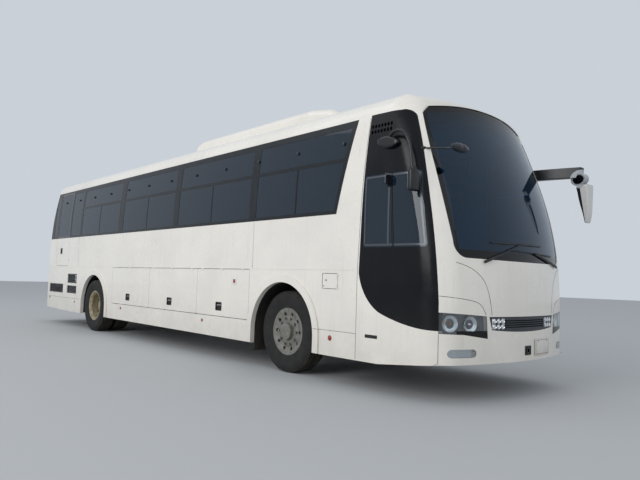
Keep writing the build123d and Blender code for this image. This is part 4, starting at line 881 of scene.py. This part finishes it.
head = slab(
    "mirror_head", (-long_head_half, -0.09, long_head_z[0]), (long_head_half, 0.09, long_head_z[1])
)
bent(divided(head, 9), head_form)
harden(head, "SUBSURF", levels=1, render_levels=1)
wide_head = spun("wide_head", [
    (-0.05, 0.0), (-0.05, 0.058), (-0.058, 0.066), (-0.054, 0.077), (-0.03, 0.081), (0.005, 0.077),
    (0.034, 0.062), (0.052, 0.036), (0.058, 0.0),
], (0, 0, 0), 40)
bent(wide_head, lambda x, y, z: (x * wide_head_width, y, z))
placed(wide_head, wide_head_at, (0, 0, wide_head_turn))
left_mirrors = settle(joined("left_mirrors", arm, head, wide_head), shell, "coach", 50)
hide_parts("mirrors")
# The eye is the convex glass of the wide view head, drawn in black gloss enamel: its black is a painted
# dark reflection
eye = spun("wide_head_eye", [
    (-0.064, 0.0), (-0.062, 0.03), (-0.0565, 0.055), (-0.0495, 0.055), (-0.0495, 0.0),
], (0, 0, 0), 32)
bent(eye, lambda x, y, z: (x * wide_head_width, y, z))
placed(eye, wide_head_at, (0, 0, wide_head_turn))
settle(eye, black, "coach", 50)

foot_z = 2.69
foot = divided(slab("mirror_foot", (4.875, -1.262, 2.618), (5.172, -1.15, 2.762)), 3)
bent(foot, lambda x, y, z: (
    x, y, foot_z + (z - foot_z) * (1 - 0.75 * abs((x - 5.02) / 0.15) ** 2) + 0.12 * (5.0 - x)
))
harden(foot, "SUBSURF", levels=1, render_levels=1)
stay = tube_line("mirror_stay", [
    (5.03, -1.22, 2.73), (5.1, -1.275, 2.785), (5.3, -1.3, 2.77), (5.39, -1.3, 2.6),
    (5.42, -1.305, 2.4), (5.452, -1.31, 2.2),
], 0.018)
collar = slab("stay_collar", (5.41, -1.338, 2.325), (5.466, -1.28, 2.36), 0.008, 2)
square_head = slab("square_head", (5.424, -1.384, 2.11), (5.484, -1.25, 2.335), 0.02, 4)
under_head = spun("under_mirror", [
    (0.146, 0.0), (0.138, 0.014), (0.11, 0.03), (0.062, 0.042), (0.004, 0.0465), (0.0, 0.0445),
    (-0.004, 0.0465), (-0.062, 0.042), (-0.11, 0.03), (-0.138, 0.014), (-0.146, 0.0),
], (0, 0, 0), 32)
placed(under_head, under_head_at)
thin_stay = tube_line("under_mirror_stay", [
    (5.39, -1.1, 2.59), (5.5, -1.07, 2.585), (5.64, -1.02, 2.57), (5.79, -0.985, 2.56),
], 0.009)
clamp = slab("stay_clamp", (5.37, -1.13, 2.575), (5.425, -1.075, 2.605), 0.005, 2)
right_parts = (foot, stay, collar, square_head, under_head, thin_stay, clamp)
right_mirrors = settle(joined("right_mirrors", *right_parts), shell, "coach", 50)
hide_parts("mirrors")

# Mirror glasses in their heads, facing the rear
mirror_pane("mirror_glass_left", [
    (5.985, 1.272, 2.05), (5.985, 1.3, 2.05), (5.9185, 1.36, 2.42), (5.9185, 1.2, 2.42),
])
mirror_pane("mirror_glass_right", [
    (5.4225, -1.372, 2.128), (5.4225, -1.262, 2.128), (5.4225, -1.262, 2.318), (5.4225, -1.372, 2.318),
])

# Bowls behind the headlamp covers, turned outwards as the covers are
dish_profile = [
    (-0.034, 0.0), (-0.034, 0.05), (-0.006, 0.0835), (0.0, 0.0815), (-0.002, 0.078),
    (-0.013, 0.066), (-0.023, 0.046), (-0.029, 0.02), (-0.029, 0.0),
]
bulb_profile = [(-0.03, 0.0), (-0.03, 0.016), (-0.014, 0.015), (-0.005, 0.009), (-0.003, 0.0)]
# x, y and z of each bowl's middle, and the degrees that it is turned outwards
bowl_places = ((5.773, 1.088, 0.797, 30), (5.858, 0.862, 0.79, 15))
bowl_inset = 0.024
small_lamp_profile = [
    (-0.006, 0.0), (-0.006, 0.026), (0.004, 0.026), (0.006, 0.023), (0.0, 0.02), (0.004, 0.012),
    (0.006, 0.0),
]
for side, sign in sides:
    for number, (x, y, z, aim) in enumerate(bowl_places):
        turn = sign * radians(aim)
        spot = (x - bowl_inset * cos(turn), sign * y - bowl_inset * sin(turn), z)
        dish = placed(spun("dish", dish_profile, (0, 0, 0), 40), spot, (0, 0, turn - pi / 2))
        settle(dish, bowl, "coach", 50).name = f"lamp_bowl_{side}_{number}"
        bulb = placed(spun("bulb", bulb_profile, (0, 0, 0), 20), spot, (0, 0, turn - pi / 2))
        settle(bulb, bowl if number else amber, "coach", 50).name = f"lamp_bulb_{side}_{number}"
    # cluster of six small lamps at the end of the grille
    small = []
    for y in (0.437, 0.498, 0.559):
        for z in (0.764, 0.822):
            spot, facing = on_bow(sign * y, z, 0.008)
            small_lamp = spun("small_lamp", small_lamp_profile, (0, 0, 0), 16)
            small.append(placed(small_lamp, spot, (0, 0, facing - pi / 2)))
    spot, facing = on_bow(sign * 0.498, 0.793, 0.016)
    back = slab("cluster_back", (-0.006, -0.095, -0.056), (0.006, 0.095, 0.056), 0.004, 2)
    small.append(placed(back, spot, (0, 0, facing)))
    settle(joined(f"lamp_cluster_{side}", *small), bowl, "coach", 50)

# Front number plate on its bracket, and the square cover round the towing socket
spot, facing = on_bow(*front_plate_yz, -0.006)
bracket = slab("plate_bracket", (-0.007, -0.172, -0.09), (0.006, 0.172, 0.09), 0.003)
settle(placed(bracket, spot, (0, 0, facing)), trim, "coach")
spot, facing = on_bow(*front_plate_yz, -0.0135)
front_plate = slab("front_plate", (-0.0015, -0.165, -0.0825), (0.0015, 0.165, 0.0825), 0.0012, 2)
settle(placed(front_plate, spot, (0, 0, facing)), plate_paint, "coach")
for i, y in enumerate((-0.105, 0.105)):
    screw = spun("screw", [(0.0, 0.008), (0.003, 0.0075), (0.005, 0.004), (0.005, 0.0)], (0, 0, 0), 12)
    spot, facing = on_bow(front_plate_yz[0] + y, 0.594, -0.0145)
    placed(screw, spot, (0, 0, facing - pi / 2))
    settle(screw, tube, "coach").name = f"plate_screw_{i}"
tow_cover_at = (5.978, 0, 0.5055)
pick()
bpy.ops.mesh.primitive_plane_add(size=1, location=tow_cover_at, rotation=(0, pi / 2, 0))
cover = bpy.context.object
cover.name = "tow_cover"
cover.scale = (0.099, 0.122, 1)
bpy.ops.object.transform_apply(location=True, rotation=True, scale=True)
bpy.ops.object.mode_set(mode="EDIT")
bpy.ops.mesh.select_all(action="SELECT")
bpy.ops.mesh.bevel(offset=0.01, segments=3, affect="VERTICES")
bpy.ops.mesh.inset(thickness=0.018)
bpy.ops.mesh.delete(type="FACE")
bpy.ops.object.mode_set(mode="OBJECT")
harden(cover, "SOLIDIFY", thickness=0.005, offset=0.0)
harden(cover, "BEVEL", width=0.001, segments=1)
settle(cover, plastic, "coach")

flap_low_z, flap_top_z = 0.205, 0.64


def mud_flap(side, sign):
    """A rubber sheet that hangs from the load space behind a front wheel, its foot swept forward."""
    flap = divided(slab("flap", (2.591, 0.86, flap_low_z), (2.599, 1.18, flap_top_z)), 5)
    bent(flap, lambda x, y, z: (
        x + 0.012 * ((flap_top_z - z) / (flap_top_z - flap_low_z)) ** 2, sign * y, z
    ))
    faced_out(flap)
    harden(flap, "BEVEL", width=0.001, segments=1)
    settle(flap, liner, "coach").name = f"mud_flap_{side}"


def parcel_rack(side, sign):
    """A shallow tray with a rounded lip over the seats, held to the wall by a row of arms."""
    arm_count, arm_pitch, first_arm_x = 12, 0.85, 4.3
    rack = divided(slab("rack", (-5.15, 0.81, 2.8), (4.38, 1.165, 2.85)), 3)
    # the tray sinks towards the wall, its upper face half as much
    bent(rack, lambda x, y, z: (
        x, sign * y, z - 0.05 * max(0.0, (y - 0.85) / 0.32) * (1 if z < 2.825 else 0.5)
    ))
    faced_out(rack)
    harden(rack, "BEVEL", width=0.01, segments=2)
    rack_parts = [rack]
    low_y, high_y = sorted((sign * 1.15, sign * 1.218))
    for i in range(arm_count):
        x = first_arm_x - i * arm_pitch
        rack_parts.append(
            slab("rack_arm", (x - 0.015, low_y, 2.765), (x + 0.015, high_y, 2.8), 0.004, 2)
        )
    settle(joined(f"parcel_rack_{side}", *rack_parts), grey_plastic, "coach")


for side, sign in sides:
    mud_flap(side, sign)
    parcel_rack(side, sign)

# Frame bars of the cab window, pressed onto the glass
cab_corners = [(4.716, 1.584), (5.546, 1.577), (5.427, 2.326), (4.716, 2.326)]
cab_glass = nodes["side_glass"]
cab_bars = [
    laid_bar(f"cab_bar_{i}", -1, a, b, 0.02, cab_glass, 0.004)
    for i, (a, b) in enumerate(zip(cab_corners, cab_corners[1:] + cab_corners[:1]))
]
cab_bars.append(laid_bar("cab_divider", -1, (5.06, 1.59), (5.06, 2.31), 0.024, cab_glass, 0.004))
settle(joined("cab_window_frame", *cab_bars), satin, "coach")

# Sealed joints between the body panels, pressed onto a copy of the skin
skin_names = (
    "front_shell", "front_mask", "bumper", "side_wall_right", "side_wall_left", "roof",
    "driver_panel", "entrance_panel", "windscreen",
)
whole_skin = joined("whole_skin", *[again(nodes[name], "skin_part") for name in skin_names])
joints = []
# half lines of the front in y and z, the post in x and z, and the side's straight seams in x and z
lid_line = [(1.031, 1.405), (0.843, 1.353), (0.687, 1.227), (0.625, 1.037), (0.601, 0.88)]
brow_line = [(1.175, 1.066), (0.881, 1.034), (0.745, 0.996), (0.682, 0.886)]
post_line = [(4.618, 0.33), (4.618, 1.284), (4.7, 3.02)]
side_lines = (
    ((-4.0, 1.322), (-4.0, 1.948)), ((2.6, 1.322), (2.6, 1.948)), ((-5.905, 0.608), (-3.67, 0.608)),
    ((3.92, 0.608), (4.612, 0.608)), ((5.69, 0.69), (5.69, 0.37)),
)
# width, surface and thickness of the joints
wide_joint = (0.005, whole_skin, 0.0012)
narrow_joint = (0.004, whole_skin, 0.001)
for _, sign in sides:
    for line in (eased(lid_line), eased(brow_line)):
        for a, b in zip(line, line[1:]):
            ends = [(sign * y, z) for y, z in (a, b)]
            joints.append(laid_bar("front_joint", "front", *ends, *wide_joint))
    for a, b in zip(post_line, post_line[1:]):
        joints.append(laid_bar("post_joint", sign, a, b, *wide_joint))
    for a, b in side_lines:
        joints.append(laid_bar("side_joint", sign, a, b, *narrow_joint))
settle(joined("panel_joints", *joints), sealant, "coach")

# Wipers: tapering arms over rubber blades, each arm on a round spindle cap
# x of the cap, then spindle, arm end and both blade ends in y and z
wiper_places = (
    (5.842, (-0.703, 1.419), (-0.085, 1.631), (-0.558, 1.626), (0.388, 1.637)),
    (5.808, (0.84, 1.418), (0.19, 1.551), (-0.306, 1.564), (0.691, 1.538)),
)
cap_profile = [
    (-0.012, 0.0), (-0.012, 0.028), (0.012, 0.027), (0.02, 0.022), (0.024, 0.012), (0.025, 0.0),
]
wiper_parts = []
for cap_x, spindle_at, arm_end, blade_start, blade_end in wiper_places:
    wiper_parts.append(laid_bar(
        "wiper_arm", "front", spindle_at, arm_end, 0.028, whole_skin, 0.012, 0.02, 0.012
    ))
    wiper_parts.append(laid_bar(
        "wiper_blade", "front", blade_start, blade_end, 0.014, whole_skin, 0.012, 0.007
    ))
    cap = spun("spindle_cap", cap_profile, (0, 0, 0), 24)
    # the cap leans a little more outwards than the bow faces
    facing = 1.3 * asin(spindle_at[0] / bow_radius)
    wiper_parts.append(placed(cap, (cap_x, *spindle_at), (0, 0, facing - pi / 2)))
settle(joined("wiper_set", *wiper_parts), plastic, "coach", 40)
bpy.data.objects.remove(whole_skin)

# Plain pale floor
pick()
bpy.ops.mesh.primitive_plane_add(size=120, location=(0, 0, 0))
ground = bpy.context.object
ground.name = "ground"
ground.data.materials.append(pale_floor)

# Studio light
world = bpy.context.scene.world or bpy.data.worlds.new("studio")
bpy.context.scene.world = world
world.use_nodes = True
world.node_tree.nodes["Background"].inputs["Color"].default_value = linear("D3DAE2")
world.node_tree.nodes["Background"].inputs["Strength"].default_value = 0.9
for name, place, aim, size, power in (
    ("key", (3, -21, 9), (0, 0, 1.5), 12, 1750),
    ("fill", (-8, -12, 17), (-2, 0, 1.5), 14, 400),
    ("front", (22, -4, 10), (5, 0, 1.5), 20, 420),
):
    bpy.ops.object.light_add(type="AREA", location=place)
    lamp = bpy.context.object
    lamp.name = name
    lamp.data.size = size
    lamp.data.energy = power
    lamp.rotation_euler = (Vector(aim) - Vector(place)).to_track_quat("-Z", "Y").to_euler()
